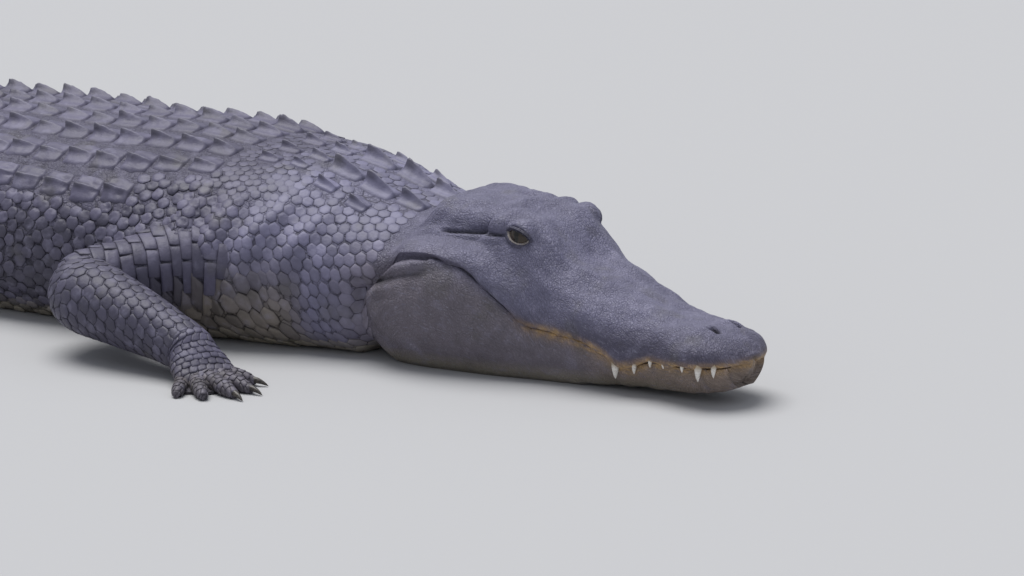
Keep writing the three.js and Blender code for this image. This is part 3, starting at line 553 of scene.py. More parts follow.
eye_pull = np.zeros(body_points.shape[:2])
lid_rings = []
for side in (-1, 1):
    centre, forward, up, out = eye_side(side)
    gap = body_points - centre
    x, y, depth = gap @ forward, gap @ up, gap @ out
    reach = np.linalg.norm(gap, axis=-1)
    near = np.exp(-((x / 34) ** 4 + (y / 26) ** 4)) * (depth > -6) * (reach < 60)
    edge_pull = np.exp(-((np.hypot(x / 1.5, y) / 17) ** 4)) * (depth > -4)
    skin_reach = mix(reach, EYE_RADIUS + 2.6, np.clip(edge_pull * 1.15, 0, 1))
    inside = 1 - smooth(almond(x, (y + LID_TILT * x) * 0.8), 0.75, 1.0)
    target = mix(skin_reach, EYE_RADIUS - 7.0, inside * (near > 0.02))
    direction = unit(gap)
    seen = (reach < 75) & (depth > -15)
    lid_rings.append(lid_ring(side, direction[seen], skin_reach[seen]))
    body_points = body_points + direction * (np.where(near > 0.02, target - reach, 0))[..., None]
    eye_pull = np.maximum(eye_pull, edge_pull)
body_normals = surface_normals(body_points)


# The skin's colours. The hide is slate grey with a violet cast that is partly a painted sky reflection,
# paler and bluer on top of snout and skull as a painted sky reflection, darker low on the flanks as painted
# shade, and tan at the chest and along the lips where light skin shows.
SLATE = np.array([0.093, 0.086, 0.136])
SKYLIT_GREY = np.array([0.158, 0.152, 0.236])
DARK_SLATE_AND_SHADE = np.array([0.032, 0.029, 0.044])
JOWL_BROWN = np.array([0.162, 0.142, 0.172])
JAW_FRONT = np.array([0.270, 0.212, 0.180])
LIP_TAN = np.array([0.540, 0.350, 0.160])
CHEST_TAN = np.array([0.175, 0.150, 0.122])
BELLY_CREAM = np.array([0.330, 0.290, 0.215])


def body_tint(s, height):
    """The hide's base colour: slate, mixed in turn towards the other colours by place."""
    def toward(colour, other, share):
        return mix(colour, other, np.clip(share, 0, 1)[..., None])

    top = body_height(s)
    colour = SLATE + 0 * s[..., None]
    # Painted shade: the flanks darken towards a near-black slate from three quarters of their height down.
    colour = toward(colour, DARK_SLATE_AND_SHADE, 0.62 * (1 - smooth(height / top, 0.25, 0.75)) * smooth(s, 760, 900))
    # Painted sky reflection: a paler, bluer grey on top of snout and skull, and over the neck.
    colour = toward(colour, SKYLIT_GREY, (1 - smooth(s, 380, 470)) * smooth(height, 62, 92))
    colour = toward(colour, SKYLIT_GREY, 0.75 * (1 - smooth(s, 600, 680)) * smooth(s, 400, 440))
    above_lip = height - lip_height(np.minimum(s, 440))
    low_jaw = (1 - smooth(s, 430, 520)) * (1 - smooth(above_lip / mix(1, 4.5, smooth(s, 280, 360)), -8, 4))
    colour = toward(colour, JOWL_BROWN, low_jaw)
    colour = toward(colour, JAW_FRONT, low_jaw * (1 - smooth(s, 130, 210)))
    from_lip = height - lip_height(s)
    lip = bump(from_lip, 0, np.where(from_lip > 0, 5.5, 8.0))
    lip = lip * (1 - smooth(s, 225, 290)) * (0.80 + 0.8 * waves(s, height * 3, 8, 17, 2))
    colour = toward(colour, LIP_TAN, 0.95 * lip)
    chest = smooth(s, 520, 570) * (1 - smooth(s, 700, 800)) * (1 - smooth(height, 40, 120))
    colour = toward(colour, CHEST_TAN, 0.9 * chest)
    colour = toward(colour, BELLY_CREAM, 0.8 * (1 - smooth(height, 4, 26)) * smooth(s, 30, 120))
    return colour


def limb_tint(height, along_share, root):
    """The limbs' base colour: slate, tan below, more tan low at a limb's root, and darker towards each tube's
    far end.
    """
    colour = SLATE * 0.92 + 0 * height[..., None]
    colour = mix(colour, CHEST_TAN * 0.8, (1 - smooth(height, 4, 34))[..., None] * 0.8)
    if root:
        low_root = (1 - smooth(height, 50, 88)) * (1 - smooth(along_share, 0.4, 0.7))
        colour = mix(colour, CHEST_TAN, low_root[..., None])
    return mix(colour, SLATE * 0.75, (0.6 * smooth(along_share, 0.2, 0.9))[..., None])


# The hide's material: leather-like skin, cracked into small polygons where no plate lies on it.
class Grain:
    """A shader socket whose arithmetic adds Math nodes."""

    def __init__(self, finish, socket):
        self.finish, self.socket = finish, socket

    def maths(self, operation, a, b=0.0):
        made = self.finish.node("ShaderNodeMath", {"operation": operation}, {0: a, 1: b})
        return Grain(self.finish, made.outputs[0])

    def __add__(self, other):
        return self.maths("ADD", self, other)

    def __sub__(self, other):
        return self.maths("SUBTRACT", self, other)

    def __rsub__(self, other):
        return self.maths("SUBTRACT", other, self)

    def __mul__(self, other):
        return self.maths("MULTIPLY", self, other)

    def at_least(self, other):
        return self.maths("MAXIMUM", self, other)

    __radd__, __rmul__ = __add__, __mul__


class Finish:
    """A material with a Principled shader. node() adds any node: its type, settings and sockets."""

    def __init__(self, name, **values):
        self.material = bpy.data.materials.new(name)
        self.material.use_nodes = True
        self.tree = self.material.node_tree
        self.tree.nodes.clear()
        self.shader = self.node("ShaderNodeBsdfPrincipled", {}, values)
        output = self.node("ShaderNodeOutputMaterial", {}, {})
        self.tree.links.new(self.shader.outputs[0], output.inputs["Surface"])

    def node(self, kind, settings, sockets):
        made = self.tree.nodes.new(kind)
        for key, value in settings.items():
            setattr(made, key, value)
        for key, value in sockets.items():
            socket = made.inputs[key.replace("_", " ") if isinstance(key, str) else key]
            value = value.socket if isinstance(value, Grain) else value
            if isinstance(value, bpy.types.NodeSocket):
                self.tree.links.new(value, socket)
            else:
                socket.default_value = value
        return made

    def value(self, kind, settings, sockets, output=0):
        return Grain(self, self.node(kind, settings, sockets).outputs[output])

    def attribute(self, name, output="Fac"):
        return self.value("ShaderNodeAttribute", {"attribute_name": name}, {}, output)

    def noise(self, size, detail=3.0, where=None, rough=0.5):
        """Noise from 0 to 1 with features about size metres across."""
        where = where or self.value("ShaderNodeTexCoord", {}, {}, "Object")
        return self.value("ShaderNodeTexNoise", {}, {
            "Vector": where, "Scale": 1 / size, "Detail": detail, "Roughness": rough})

    def step(self, grain, start, end):
        """0 below start, 1 above end, eased between."""
        return self.value("ShaderNodeMapRange", {"interpolation_type": "SMOOTHSTEP"}, {
            "Value": grain, "From_Min": start, "From_Max": end})

    def blend(self, a, b, factor, how="MIX"):
        """Colours a and b mixed by factor."""
        made = self.node("ShaderNodeMix", {"data_type": "RGBA", "blend_type": how, "clamp_factor": True},
                         {0: factor, 6: a, 7: b})
        return Grain(self, made.outputs[2])

    def feed(self, **sockets):
        for key, grain in sockets.items():
            self.tree.links.new(grain.socket, self.shader.inputs[key.replace("_", " ")])

    def relief(self, height, depth, before=None):
        sockets = {"Height": height, "Distance": depth, "Strength": 1.0}
        if before is not None:
            sockets["Normal"] = before
        return self.value("ShaderNodeBump", {}, sockets)


def hide_finish(name, cracked):
    """Hide: the tint attribute, mottled by noise at three sizes, with pale patches that are partly a painted
    wet highlight, painted shade in grooves and cracks, and crests paler from wear and a painted highlight.
    Cracks are the edges of cells on the skin's own map, in metres."""
    hide = Finish(name, Roughness=0.56, IOR=1.45)
    tint = hide.value("ShaderNodeAttribute", {"attribute_name": "tint"}, {}, "Color")
    groove = hide.attribute("groove")
    worn = hide.attribute("worn")
    broad, mottle, fine = hide.noise(0.09), hide.noise(0.016, 4), hide.noise(0.0022, 4)
    shade = 0.50 + broad * 0.46 + mottle * 0.54
    grey = hide.value("ShaderNodeCombineColor", {}, {"Red": shade, "Green": shade, "Blue": shade})
    colour = hide.blend(tint, grey, 1.0, "MULTIPLY")
    # Painted highlight: pale bluish patches where the mottle is high, partly a wet sheen and partly random
    # paler tone.
    pale = hide.step(mottle, 0.52, 0.72) * 0.30
    colour = hide.blend(colour, (0.25, 0.24, 0.33, 1), pale)
    olive = hide.step(hide.noise(0.045, 4), 0.56, 0.72) * 0.35
    colour = hide.blend(colour, (0.085, 0.080, 0.062, 1), olive)
    # Crests turn a pale bluish grey: partly wear, partly a painted highlight.
    colour = hide.blend(colour, (0.30, 0.29, 0.37, 1), worn * (0.35 + mottle * 0.5))
    dark = groove
    height = fine * 0.22 + mottle * 0.5 + hide.noise(0.0045, 3) * 0.40
    if cracked:
        where = hide.value("ShaderNodeUVMap", {"uv_map": "skin"}, {}, "UV")
        warp = hide.node("ShaderNodeVectorMath", {"operation": "MULTIPLY_ADD"}, {
            0: hide.value("ShaderNodeTexNoise", {}, {"Vector": where, "Scale": 90.0}, "Color"),
            1: (0.004, 0.004, 0.0), 2: where}).outputs[0]
        cracks = hide.attribute("cracks")
        bare = 1 - hide.step(cracks, 0.3, 0.7)
        for size, deep, wide, share in ((0.0145, 1.0, 0.085, cracks), (0.0052, 0.42, 0.10, cracks),
                                        (0.0062, 0.30, 0.12, bare), (0.0030, 0.34, 0.16, bare)):
            edge = hide.value("ShaderNodeTexVoronoi", {"feature": "DISTANCE_TO_EDGE"}, {
                "Vector": warp, "Scale": 1 / size, "Randomness": 0.85})
            crack = (1 - hide.step(edge, 0.0, wide)) * share * deep
            height = height - crack * 0.9 + hide.step(edge, 0.0, 0.45) * share * 0.5 * deep
            dark = dark.at_least(crack * 0.8)
        long_grain = hide.value("ShaderNodeMapping", {}, {"Vector": where, "Scale": (90.0, 420.0, 1.0)})
        wrinkle = hide.value("ShaderNodeTexNoise", {}, {"Vector": long_grain, "Scale": 1.0, "Detail": 3.0})
        height = height + wrinkle * 0.5 * bare
        colour = hide.blend(colour, (0.24, 0.235, 0.32, 1), hide.step(wrinkle, 0.56, 0.72) * bare * 0.5)
        flecks = hide.step(hide.noise(0.0028, 5, None, 0.7), 0.585, 0.69)
        flecks = flecks * hide.step(broad, 0.38, 0.60) * bare
        colour = hide.blend(colour, (0.42, 0.42, 0.50, 1), flecks * 0.55)
    # Painted shade: grooves and cracks are darkened almost to black.
    colour = hide.blend(colour, (0.012, 0.011, 0.014, 1), dark * 0.86)
    hide.feed(Base_Color=colour, Roughness=0.42 + mottle * 0.22 + dark * 0.2,
              Normal=hide.relief(height, 0.0011))
    return hide.material


skin_finish = hide_finish("hide_skin", True)
scale_finish = hide_finish("hide_scales", False)


def make_mesh(name, points, faces, finish, attributes=None, maps=None):
    """An object whose mesh has these points, in millimetres, and these arrays of three- and
    four-sided faces. Attributes are per point; maps are UV maps, also given per point."""
    mesh = bpy.data.meshes.new(name)
    mesh.vertices.add(len(points))
    mesh.vertices.foreach_set("co", (np.asarray(points, float) * 0.001).astype(np.float32).ravel())
    corners = np.concatenate([f.ravel() for f in faces]).astype(np.int32)
    sizes = np.concatenate([np.full(len(f), f.shape[1]) for f in faces]).astype(np.int32)
    mesh.loops.add(len(corners))
    mesh.loops.foreach_set("vertex_index", corners)
    mesh.polygons.add(len(sizes))
    mesh.polygons.foreach_set("loop_start", np.concatenate([[0], np.cumsum(sizes)[:-1]]).astype(np.int32))
    mesh.polygons.foreach_set("loop_total", sizes)
    mesh.update(calc_edges=True)
    for key, values in (attributes or {}).items():
        if values.ndim == 2:
            layer = mesh.color_attributes.new(key, "FLOAT_COLOR", "POINT")
            values = np.concatenate([values, np.ones((len(values), 1))], 1)
            layer.data.foreach_set("color", values.astype(np.float32).ravel())
        else:
            layer = mesh.attributes.new(key, "FLOAT", "POINT")
            layer.data.foreach_set("value", values.astype(np.float32))
    for key, values in (maps or {}).items():
        layer = mesh.uv_layers.new(name=key)
        layer.data.foreach_set("uv", values[corners].astype(np.float32).ravel())
    mesh.shade_smooth()
    mesh.materials.append(finish)
    made = bpy.data.objects.new(name, mesh)
    bpy.context.scene.collection.objects.link(made)
    return made


def ring_faces(rows, around, first=0, inward=False, closed_ends=True):
    """Four-sided faces of a closed grid of rings, and fans that close its ends on two more points."""
    i, j = np.meshgrid(np.arange(rows - 1), np.arange(around), indexing="ij")
    a, b = i * around + j, i * around + (j + 1) % around
    quads = np.stack([a, b, b + around, a + around], -1).reshape(-1, 4) + first
    j = np.arange(around)
    k = (j + 1) % around
    last, tip = (rows - 1) * around, rows * around
    fans = np.concatenate([
        np.stack([k, j, np.full(around, tip)], 1),
        np.stack([last + j, last + k, np.full(around, tip + 1)], 1)]) + first
    if inward:
        quads, fans = quads[:, ::-1], fans[:, ::-1]
    return quads, fans


def turned_inward(points, normals):
    """Whether faces of a grid, taken along then round, point against its normals."""
    around = np.roll(points, -1, 1) - points
    length = np.gradient(points, axis=0)
    return (np.cross(around, length) * normals).sum() < 0


# The one skin is put together from the body's grid, the limbs' tubes and the lids' collars.
skin_points, skin_quads, skin_fans, skin_tint, skin_map = [], [], [], [], []
skin_groove_shade, skin_cracks, skin_wear_and_highlight = [], [], []
skin_count = 0


def add_skin(points, normals, tint, map_s, map_d, groove, cracks, worn):
    """Adds a closed grid to the skin, with its colours and its map in metres, and closes its ends."""
    global skin_count
    rows, around = points.shape[:2]
    quads, fans = ring_faces(rows, around, skin_count, turned_inward(points, normals))
    ends = np.stack([points[0].mean(0), points[-1].mean(0)])
    skin_points.append(np.concatenate([points.reshape(-1, 3), ends]))
    skin_quads.append(quads)
    skin_fans.append(fans)
    for store, values in ((skin_tint, tint), (skin_groove_shade, groove), (skin_cracks, cracks), (skin_wear_and_highlight, worn),
                          (skin_map, np.stack([map_s, map_d], -1) * 0.001)):
        flat = values.reshape(rows * around, -1)
        store.append(np.concatenate([flat, flat[:1], flat[-1:]]))
    skin_count += rows * around + 2


height = body_points[..., 2]
tint = body_tint(grid_s, height)
mouth_u = np.concatenate([half_u, half_u[-2:0:-1]])[None] + 0 * grid_s
mouth = bump(mouth_u, MOUTH_LINE, 0.008) * (1 - smooth(grid_s, 340, 420)) * smooth(grid_s, -6, 0)
nostril = head_relief(grid_s, np.abs(body_d) * 0.93)[1] * (height > 70)
jowl_crease = bump(height, 106 - 0.3 * (grid_s - 415), 5) * (mouth_u < MOUTH_SHARE)
jowl_crease = jowl_crease * smooth(grid_s, 345, 385) * (1 - smooth(grid_s, 440, 462))
jowl_crease = jowl_crease * (0.55 + 0.5 * waves(grid_s, body_d, 30, 9, 2))
# Painted shade in hollows: the mouth line, nostrils, ear slit, skin creases and the jowl's fold.
groove = np.maximum(np.maximum(mouth, 1.2 * nostril), np.maximum(ear_slit, 0.75 * creases))
groove = np.clip(np.maximum(groove, jowl_crease), 0, 1)
cracks = mix(0.10, 0.85, smooth(grid_s, 425, 490))
cracks = cracks * (1 - 0.55 * smooth(height, 120, 190) * smooth(grid_s, 500, 600))
add_skin(body_points, body_normals, tint, grid_s, body_d, groove, cracks * (1 - eye_pull), 0 * groove)
for tubes in limbs.values():
    for tube in tubes:
        points = tube["points"]
        share = (tube["along"] / tube["along"][-1])[:, None] + 0 * points[..., 0]
        around = np.linalg.norm(np.roll(points, -1, 1) - points, axis=-1)
        tube["around"] = np.concatenate([np.zeros((len(points), 1)), np.cumsum(around, 1)], 1)
        plain = 0 * share
        along = tube["along"][:, None] + plain
        tube["tint"] = limb_tint(points[..., 2], share, tube is tubes[0])
        add_skin(
            points, tube["normals"], tube["tint"], along, tube["around"][:, :-1], plain, plain + 0.9, plain)
# The lids' fold gets painted shade through the groove attribute.
for collar, q, collar_map in lid_rings:
    outward = unit(collar - collar.reshape(-1, 3).mean(0))
    low = (np.arange(q.shape[1]) > q.shape[1] / 2)[None, :, None]
    rim_tint = mix(SLATE * 0.7, np.array([0.36, 0.32, 0.30]), low)
    lid_tint = mix(rim_tint, SKYLIT_GREY * 0.62, smooth(q, 1.07, 1.22)[..., None])
    plain = np.zeros((q.size, 1))
    rows, around = q.shape
    quads, _ = ring_faces(rows, around, skin_count, turned_inward(collar, outward))
    skin_points.append(collar.reshape(-1, 3))
    skin_quads.append(quads)
    for store, values in ((skin_tint, lid_tint.reshape(-1, 3)), (skin_cracks, plain), (skin_wear_and_highlight, plain),
                          (skin_groove_shade, 0.45 * bump(q, 1.2, 0.05).reshape(-1, 1)),
                          (skin_map, collar_map.reshape(-1, 2))):
        store.append(values)
    skin_count += rows * around

skin = make_mesh(
    "skin", np.concatenate(skin_points), [np.concatenate(skin_quads), np.concatenate(skin_fans)], skin_finish,
    {"tint": np.concatenate(skin_tint), "groove": np.concatenate(skin_groove_shade)[:, 0],
     "cracks": np.concatenate(skin_cracks)[:, 0], "worn": np.concatenate(skin_wear_and_highlight)[:, 0]},
    {"skin": np.concatenate(skin_map)})
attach(skin, "root")
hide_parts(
    "head", "lower_jaw", "neck", "torso_front", "torso_rear", "tail_base", "tail_middle", "tail_rear",
    "tail_tip", *[f"{name}_{part}" for name in limbs for part in ("upper", "lower", "foot")])


# Scales and plates are horn over the skin. Each sits on the skin's grid, found by its length along
# the animal and its distance round it, and follows the skin's curve under it. Their maps are unwraps
# of the same grid, drawn together so that body and limbs share one square.
MAP_SHARE, PATCH = 1 / 3.2, 0.0014


class Bed:
    """A grid of skin on which scales lie, read by length along it and distance round it."""

    def __init__(self, points, normals, along, around, tint, corner, closed=False):
        self.points, self.normals, self.along, self.tint = points, normals, along, tint
        self.corner = corner
        self.low, self.high = float(around.min()), float(around.max())
        self.grid = np.linspace(self.low, self.high, 400)
        columns = np.arange(around.shape[1], dtype=float)
        self.column = np.stack([np.interp(self.grid, row, columns) for row in around])
        self.reach = around[:, [0, -1]]
        self.closed = closed

    def row(self, s):
        return np.interp(s, self.along, np.arange(len(self.along)))

    def read(self, layer, s, d):
        """The layer's value at length s and distance d, mixed from the four nearest grid points."""
        r = self.row(s)
        i = np.clip(r.astype(int), 0, len(self.along) - 2)
        t = r - i
        if self.closed:
            d = np.mod(d, np.interp(s, self.along, self.reach[:, 1]))
        place_d = np.clip((d - self.low) / (self.high - self.low) * 399, 0, 398.999)
        k = place_d.astype(int)
        f = place_d - k
        values = []
        for row in (i, i + 1):
            c = mix(self.column[row, k], self.column[row, k + 1], f)
            j = np.clip(c.astype(int), 0, layer.shape[1] - 1)
            g = (c - j)[..., None]
            values.append(mix(layer[row, j], layer[row, (j + 1) % layer.shape[1]], g))
        return mix(values[0], values[1], t[..., None])


def bake_patch(bed, along, d, a, b):
    """The patch of each scale on the map OFBake: its own outline, PATCH to each side of its root's
    place on the skin's unwrap, which is the bed's length and distance round times MAP_SHARE."""
    root = np.stack([along, d - bed.low], 1) * 0.001 * MAP_SHARE + bed.corner
    return root[:, None] + PATCH * np.stack([a, b], 1)[None]


wrapped = np.concatenate([body_d, travelled[:, -1:] - travelled[:, BACK:BACK + 1]], 1)
body_bed = Bed(body_points, body_normals, ring_s, wrapped, body_tint(grid_s, height), (0.02, 0.35))


OUTLINES = {
    "hexagon": lambda c, k: 1 / np.maximum(np.abs(k), np.abs(c) + 0.5 * np.abs(k)),
    "oblong": lambda c, k: 1 / np.maximum(np.abs(k), np.abs(c))}
CORNERS = {
    "hexagon": np.array([0, 32, 63.4, 90, 116.6, 148, 180, 212, 243.4, 270, 296.6, 328]),
    "oblong": np.array([0, 24, 45, 66, 90, 114, 135, 156, 180, 204, 225, 246, 270, 294, 315, 336])}
TILE = [(1.0, -0.35, 1.0), (0.955, 0.5, 0.6), (0.885, 0.9, 0.06), (0.5, 1.0, 0.0)]


def scale_template(outline, soft):
    """A unit scale: rings of points drawn in from the outline to the centre, each with its height and
    how much painted shade its groove gets. The outline is a polygon in polar form, softened towards a circle."""
    angle = np.radians(CORNERS[outline])
    sides = len(angle)
    reach = mix(OUTLINES[outline](np.cos(angle), np.sin(angle)), 1, soft)
    a = np.concatenate([r * reach * np.cos(angle) for r, _, _ in TILE] + [[0]])
    b = np.concatenate([r * reach * np.sin(angle) for r, _, _ in TILE] + [[0]])
    n = np.concatenate([np.full(sides, h) for _, h, _ in TILE] + [[1.02]])
    dark = np.concatenate([np.full(sides, g) for _, _, g in TILE] + [[0]])
    j = np.arange(sides)
    k = (j + 1) % sides
    faces = []
    for base in range(0, (len(TILE) - 1) * sides, sides):
        faces.append(np.stack([base + j, base + k, base + sides + k], 1))
        faces.append(np.stack([base + j, base + sides + k, base + sides + j], 1))
    base, tip = (len(TILE) - 1) * sides, len(TILE) * sides
    faces.append(np.stack([base + j, base + k, np.full(sides, tip)], 1))
    return a, b, n, dark, np.concatenate(faces)


def lay_scales(name, bed, s, d, half_long, half_wide, rise, seed, outline="hexagon", soft=0.35, keel=0.0,
               tilt=0.0, shade=1.0, wear=0.0, spread=0.18):
    """One mesh of many scales. Each point of a scale is the skin's point under it, plus the skin's
    normal times the scale's own height there, which a keel and a tilt towards the tail add to."""
    draw = np.random.default_rng(seed)
    count = len(s)
    a, b, n, dark, faces = scale_template(outline, soft)
    size = draw.uniform(0.95, 1.03, (2, count, 1))
    turn = draw.normal(0, 0.04 + 0.5 * max(soft - 0.2, 0), (count, 1))
    long = a[None] * half_long[:, None] * size[0]
    wide = b[None] * half_wide[:, None] * size[1]
    ss = s[:, None] + long * np.cos(turn) - wide * np.sin(turn)
    dd = d[:, None] + long * np.sin(turn) + wide * np.cos(turn)
    ridge = np.clip(1 - np.abs(b) / 0.6, 0, 1) ** 1.3 * (n > 0.5) * mix(0.3, 1, (np.clip(a, -1, 1) + 1) / 2)
    lift = n[None] + keel * ridge[None] * draw.uniform(0.5, 1.3, (count, 1))
    lift = lift + tilt * np.clip(a, -1, 1)[None] * (n > 0)[None]
    lift = lift + draw.normal(0, 0.06, lift.shape) * (n > 0)[None]
    lift = lift * rise[:, None] * draw.uniform(0.8, 1.2, (count, 1))
    points = bed.read(bed.points, ss, dd) + unit(bed.read(bed.normals, ss, dd)) * lift[..., None]
    points[..., 2] = np.maximum(points[..., 2], 0.1)
    tint = bed.read(bed.tint, s, d)[:, None] * (shade * draw.uniform(1 - spread, 1 + spread, (count, 1, 1)))
    tint = tint + 0 * points
    first = points[:, faces[0]]
    facing = np.cross(first[:, 1] - first[:, 0], first[:, 2] - first[:, 0])
    if (facing * unit(bed.read(bed.normals, s, d))).sum() < 0:
        faces = faces[:, ::-1]
    faces = (faces[None] + (np.arange(count) * len(a))[:, None, None]).reshape(-1, 3)
    patch = bake_patch(bed, s - bed.along[0], d, a, b)
    made = make_mesh(name, points.reshape(-1, 3), [faces], scale_finish, {
        "tint": tint.reshape(-1, 3), "groove": np.tile(dark, count),
        "worn": (np.clip(ridge, 0, 1)[None] * wear + np.zeros((count, 1))).ravel()},
        {"OFBake": patch.reshape(-1, 2)})
    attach(made, "root")
    return made


# The bony plates of neck, back and tail: keeled scutes of bone under horn, in cross rows that stand
# close together on the trunk, and two crests of thin blades that meet and go on as one on the tail.
SHOULDER, CREST_MEET, TRUNK_ROWS = 708, 2265, 19
NECK_PLATES = [
    [474, 30, 42, 34, 15], [522, 34, 50, 40, 17.5], [520, 76, 32, 28, 9], [574, 30, 50, 38, 16.5],
    [572, 72, 32, 26, 9], [622, 22, 30, 24, 9], [625, 56, 26, 22, 7], [664, 24, 32, 26, 10],
    [666, 62, 30, 26, 8]]
row_pitch = profile([[SHOULDER, 41.5], [2200, 42], [2700, 40], [TOTAL, 30]])
row_starts = [float(SHOULDER)]
while row_starts[-1] < TOTAL - 50:
    row_starts.append(row_starts[-1] + float(row_pitch(row_starts[-1])))
row_middles = (np.array(row_starts[1:]) + np.array(row_starts[:-1])) / 2
plate_width = profile([[600, 34], [700, 42], [860, 53], [1200, 52], [1380, 38], [1500, 31]])
crest_height = profile([
    [1480, 14], [1800, 20], [2100, 30], [2265, 36], [2500, 38], [2800, 28], [3000, 16], [TOTAL, 9]])
crest_apart = profile([[1460, 17], [1700, 22], [2000, 20], [2265, 10]])
COLUMN_KEEL = [12, 11.5, 10, 7.5]


def columns_at(s):
    """How many plates stand on each side of a cross row."""
    return np.select([s < 790, s < 1330, s < 1400], [3, 4, 3], 2)


plates = []  # middle s, middle d, length, width, keel, blade
for s, d, length, width, keel in NECK_PLATES:
    plates += [[s, side * d, length, width, keel, 0.0] for side in (-1, 1)]
chance = np.random.default_rng(7)
for row, s in enumerate(row_middles):
    pitch = float(row_pitch(s))
    if row < TRUNK_ROWS:
        columns = int(columns_at(s))
        wide = float(plate_width(s))
        for column in range(columns):
            for side in (-1, 1):
                across = wide * (0.96 if column < 3 else 0.86)
                plates.append([
                    s + chance.normal(0, 1.2), side * ((column + 0.5) * wide + chance.normal(0, 1.2)),
                    pitch * chance.uniform(0.93, 0.99), across * chance.uniform(0.95, 1.0),
                    COLUMN_KEEL[column] * chance.uniform(0.65, 1.2), 0.0])
        continue
    blade = float(smooth(s, 1500, 1900))
    keel = float(crest_height(s)) * chance.uniform(0.9, 1.08)
    width = min(mix(30, 15, float(smooth(s, 1480, 2000))), float(body_width(s)) * 1.1)
    if s < CREST_MEET:
        apart = float(crest_apart(s))
        for side in (-1, 1):
            plates.append([s, side * apart, pitch * 0.95, width, keel, blade])
            if s < 1760:
                plates.append([s, side * (apart + 34), pitch * 0.85, 26, 7, 0.0])
    else:
        plates.append([s, 0.0, pitch * 0.97, min(width, 13), keel, 1.0])
plates = np.array(plates)


def plate_template(rows, columns):
    """A unit plate on a grid: a squared-off outline, narrower in front, a low rim, a gentle swelling,
    and the share of the keel, a thin ridge that rises as 1 - (1 - t)^1.9 and drops at its rear end."""
    a, b = np.meshgrid(np.linspace(-1, 1, rows), np.linspace(-1, 1, columns), indexing="ij")
    b = np.sign(b) * np.abs(b) ** 1.6
    most = np.maximum(np.abs(a), np.abs(b))
    edge = most > 0.999
    rim = np.clip((1 - most) / 0.12, 0, 1) ** 0.6
    rise = np.clip((a + 1) / 1.66, 0, 1)
    climb = (1 - (1 - rise) ** 1.9) * (1 - 0.85 * smooth(a, 0.64, 1.0))
    side = np.clip(1 - np.abs(b) / 0.96, 0, 1)
    keel = climb * (0.20 * side + 0.80 * np.exp(-((np.abs(b) / 0.19) ** 1.4)) * np.clip(side * 3, 0, 1))
    keel = keel * np.clip((1 - np.abs(a)) / 0.1, 0, 1) ** 0.7
    long = a * np.sqrt(1 - 0.14 * b * b)
    wide = b * np.sqrt(1 - 0.14 * a * a) * mix(0.86, 1.0, smooth(a, -1, 0.1))
    return a, b, long, wide, rim, keel, edge


def lay_plates(name, rows_of, seed):
    """One mesh of plates: skin point, plus the plate's height along the skin's normal, which leans
    upright on a blade; pits and small unevenness from soft noise."""
    draw = np.random.default_rng(seed)
    rows, columns = 15, 15
    a, b, long, wide, rim, keel, edge = (x.ravel() for x in plate_template(rows, columns))
    s, d, length, width, high, blade = rows_of.T
    ss = s[:, None] + long[None] * length[:, None] / 2
    dd = d[:, None] + wide[None] * width[:, None] / 2
    base = body_bed.read(body_bed.points, ss, dd)
    normal = unit(body_bed.read(body_bed.normals, ss, dd))
    upright = unit(body_bed.read(body_bed.normals, s, d))[:, None] + 0 * normal
    lean = unit(mix(upright, np.array([0, 0, 1.0]), blade[:, None, None]))
    rough = waves(ss * 3 + 40 * s[:, None], dd * 3, 14, seed, 3)
    low = 1.6 * rim[None] - 4.0 * edge[None] + 0.5 * rough * rim[None]
    tall = keel[None] * high[:, None] * (1 + 0.07 * rough)
    points = base + normal * low[..., None] + lean * tall[..., None]
    back = unit(body_bed.read(body_bed.points, s + 5, d) - body_bed.read(body_bed.points, s - 5, d))
    points = points + back[:, None] * (0.34 * tall * keel[None])[..., None]
    count = len(s)
    i, j = np.meshgrid(np.arange(rows - 1), np.arange(columns - 1), indexing="ij")
    corner = (i * columns + j).ravel()
    quad = np.stack([corner, corner + columns, corner + columns + 1, corner + 1], 1)
    p0, p1, p3 = points[:, quad[:, 0]], points[:, quad[:, 1]], points[:, quad[:, 3]]
    if (np.cross(p1 - p0, p3 - p0) * upright[:, quad[:, 0]]).sum() < 0:
        quad = quad[:, ::-1]
    faces = (quad[None] + (np.arange(count) * rows * columns)[:, None, None]).reshape(-1, 4)
    tint = body_bed.read(body_bed.tint, s, d)[:, None] * draw.uniform(0.95, 1.30, (count, 1, 1))
    # The keel's upper rear is darkened: partly its own darker horn, partly painted shade on its steep rear
    # face.
    keel_dark_and_shade = 0.7 * smooth(keel, 0.15, 0.7) * smooth(a, -0.1, 0.5)
    tint = mix(tint, DARK_SLATE_AND_SHADE, keel_dark_and_shade[None, :, None]) + 0 * points
    # Painted shade in the gaps at the plates' edges.
    dark = np.clip(1 - rim, 0, 1) ** 1.5
    # The keel's crest is paler: partly wear, partly a painted highlight.
    crest = np.clip(keel, 0, 1) ** 1.2 * np.clip(1 - np.abs(b) / 0.12, 0, 1) * (1 - smooth(a, 0.5, 0.8))
    patch = bake_patch(body_bed, s + 5, d, a, b)
    made = make_mesh(name, points.reshape(-1, 3), [faces], scale_finish, {
        "tint": tint.reshape(-1, 3), "groove": np.tile(dark, count),
        "worn": np.tile(crest, count) * 0.5}, {"OFBake": patch.reshape(-1, 2)})
    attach(made, "root")
    return made


TAIL_START = row_starts[TRUNK_ROWS]
lay_plates("neck_plates", plates[plates[:, 0] < SHOULDER], 11)
lay_plates("back_plates", plates[(plates[:, 0] >= SHOULDER) & (plates[:, 0] < TAIL_START)], 12)
lay_plates("tail_plates", plates[plates[:, 0] >= TAIL_START], 13)


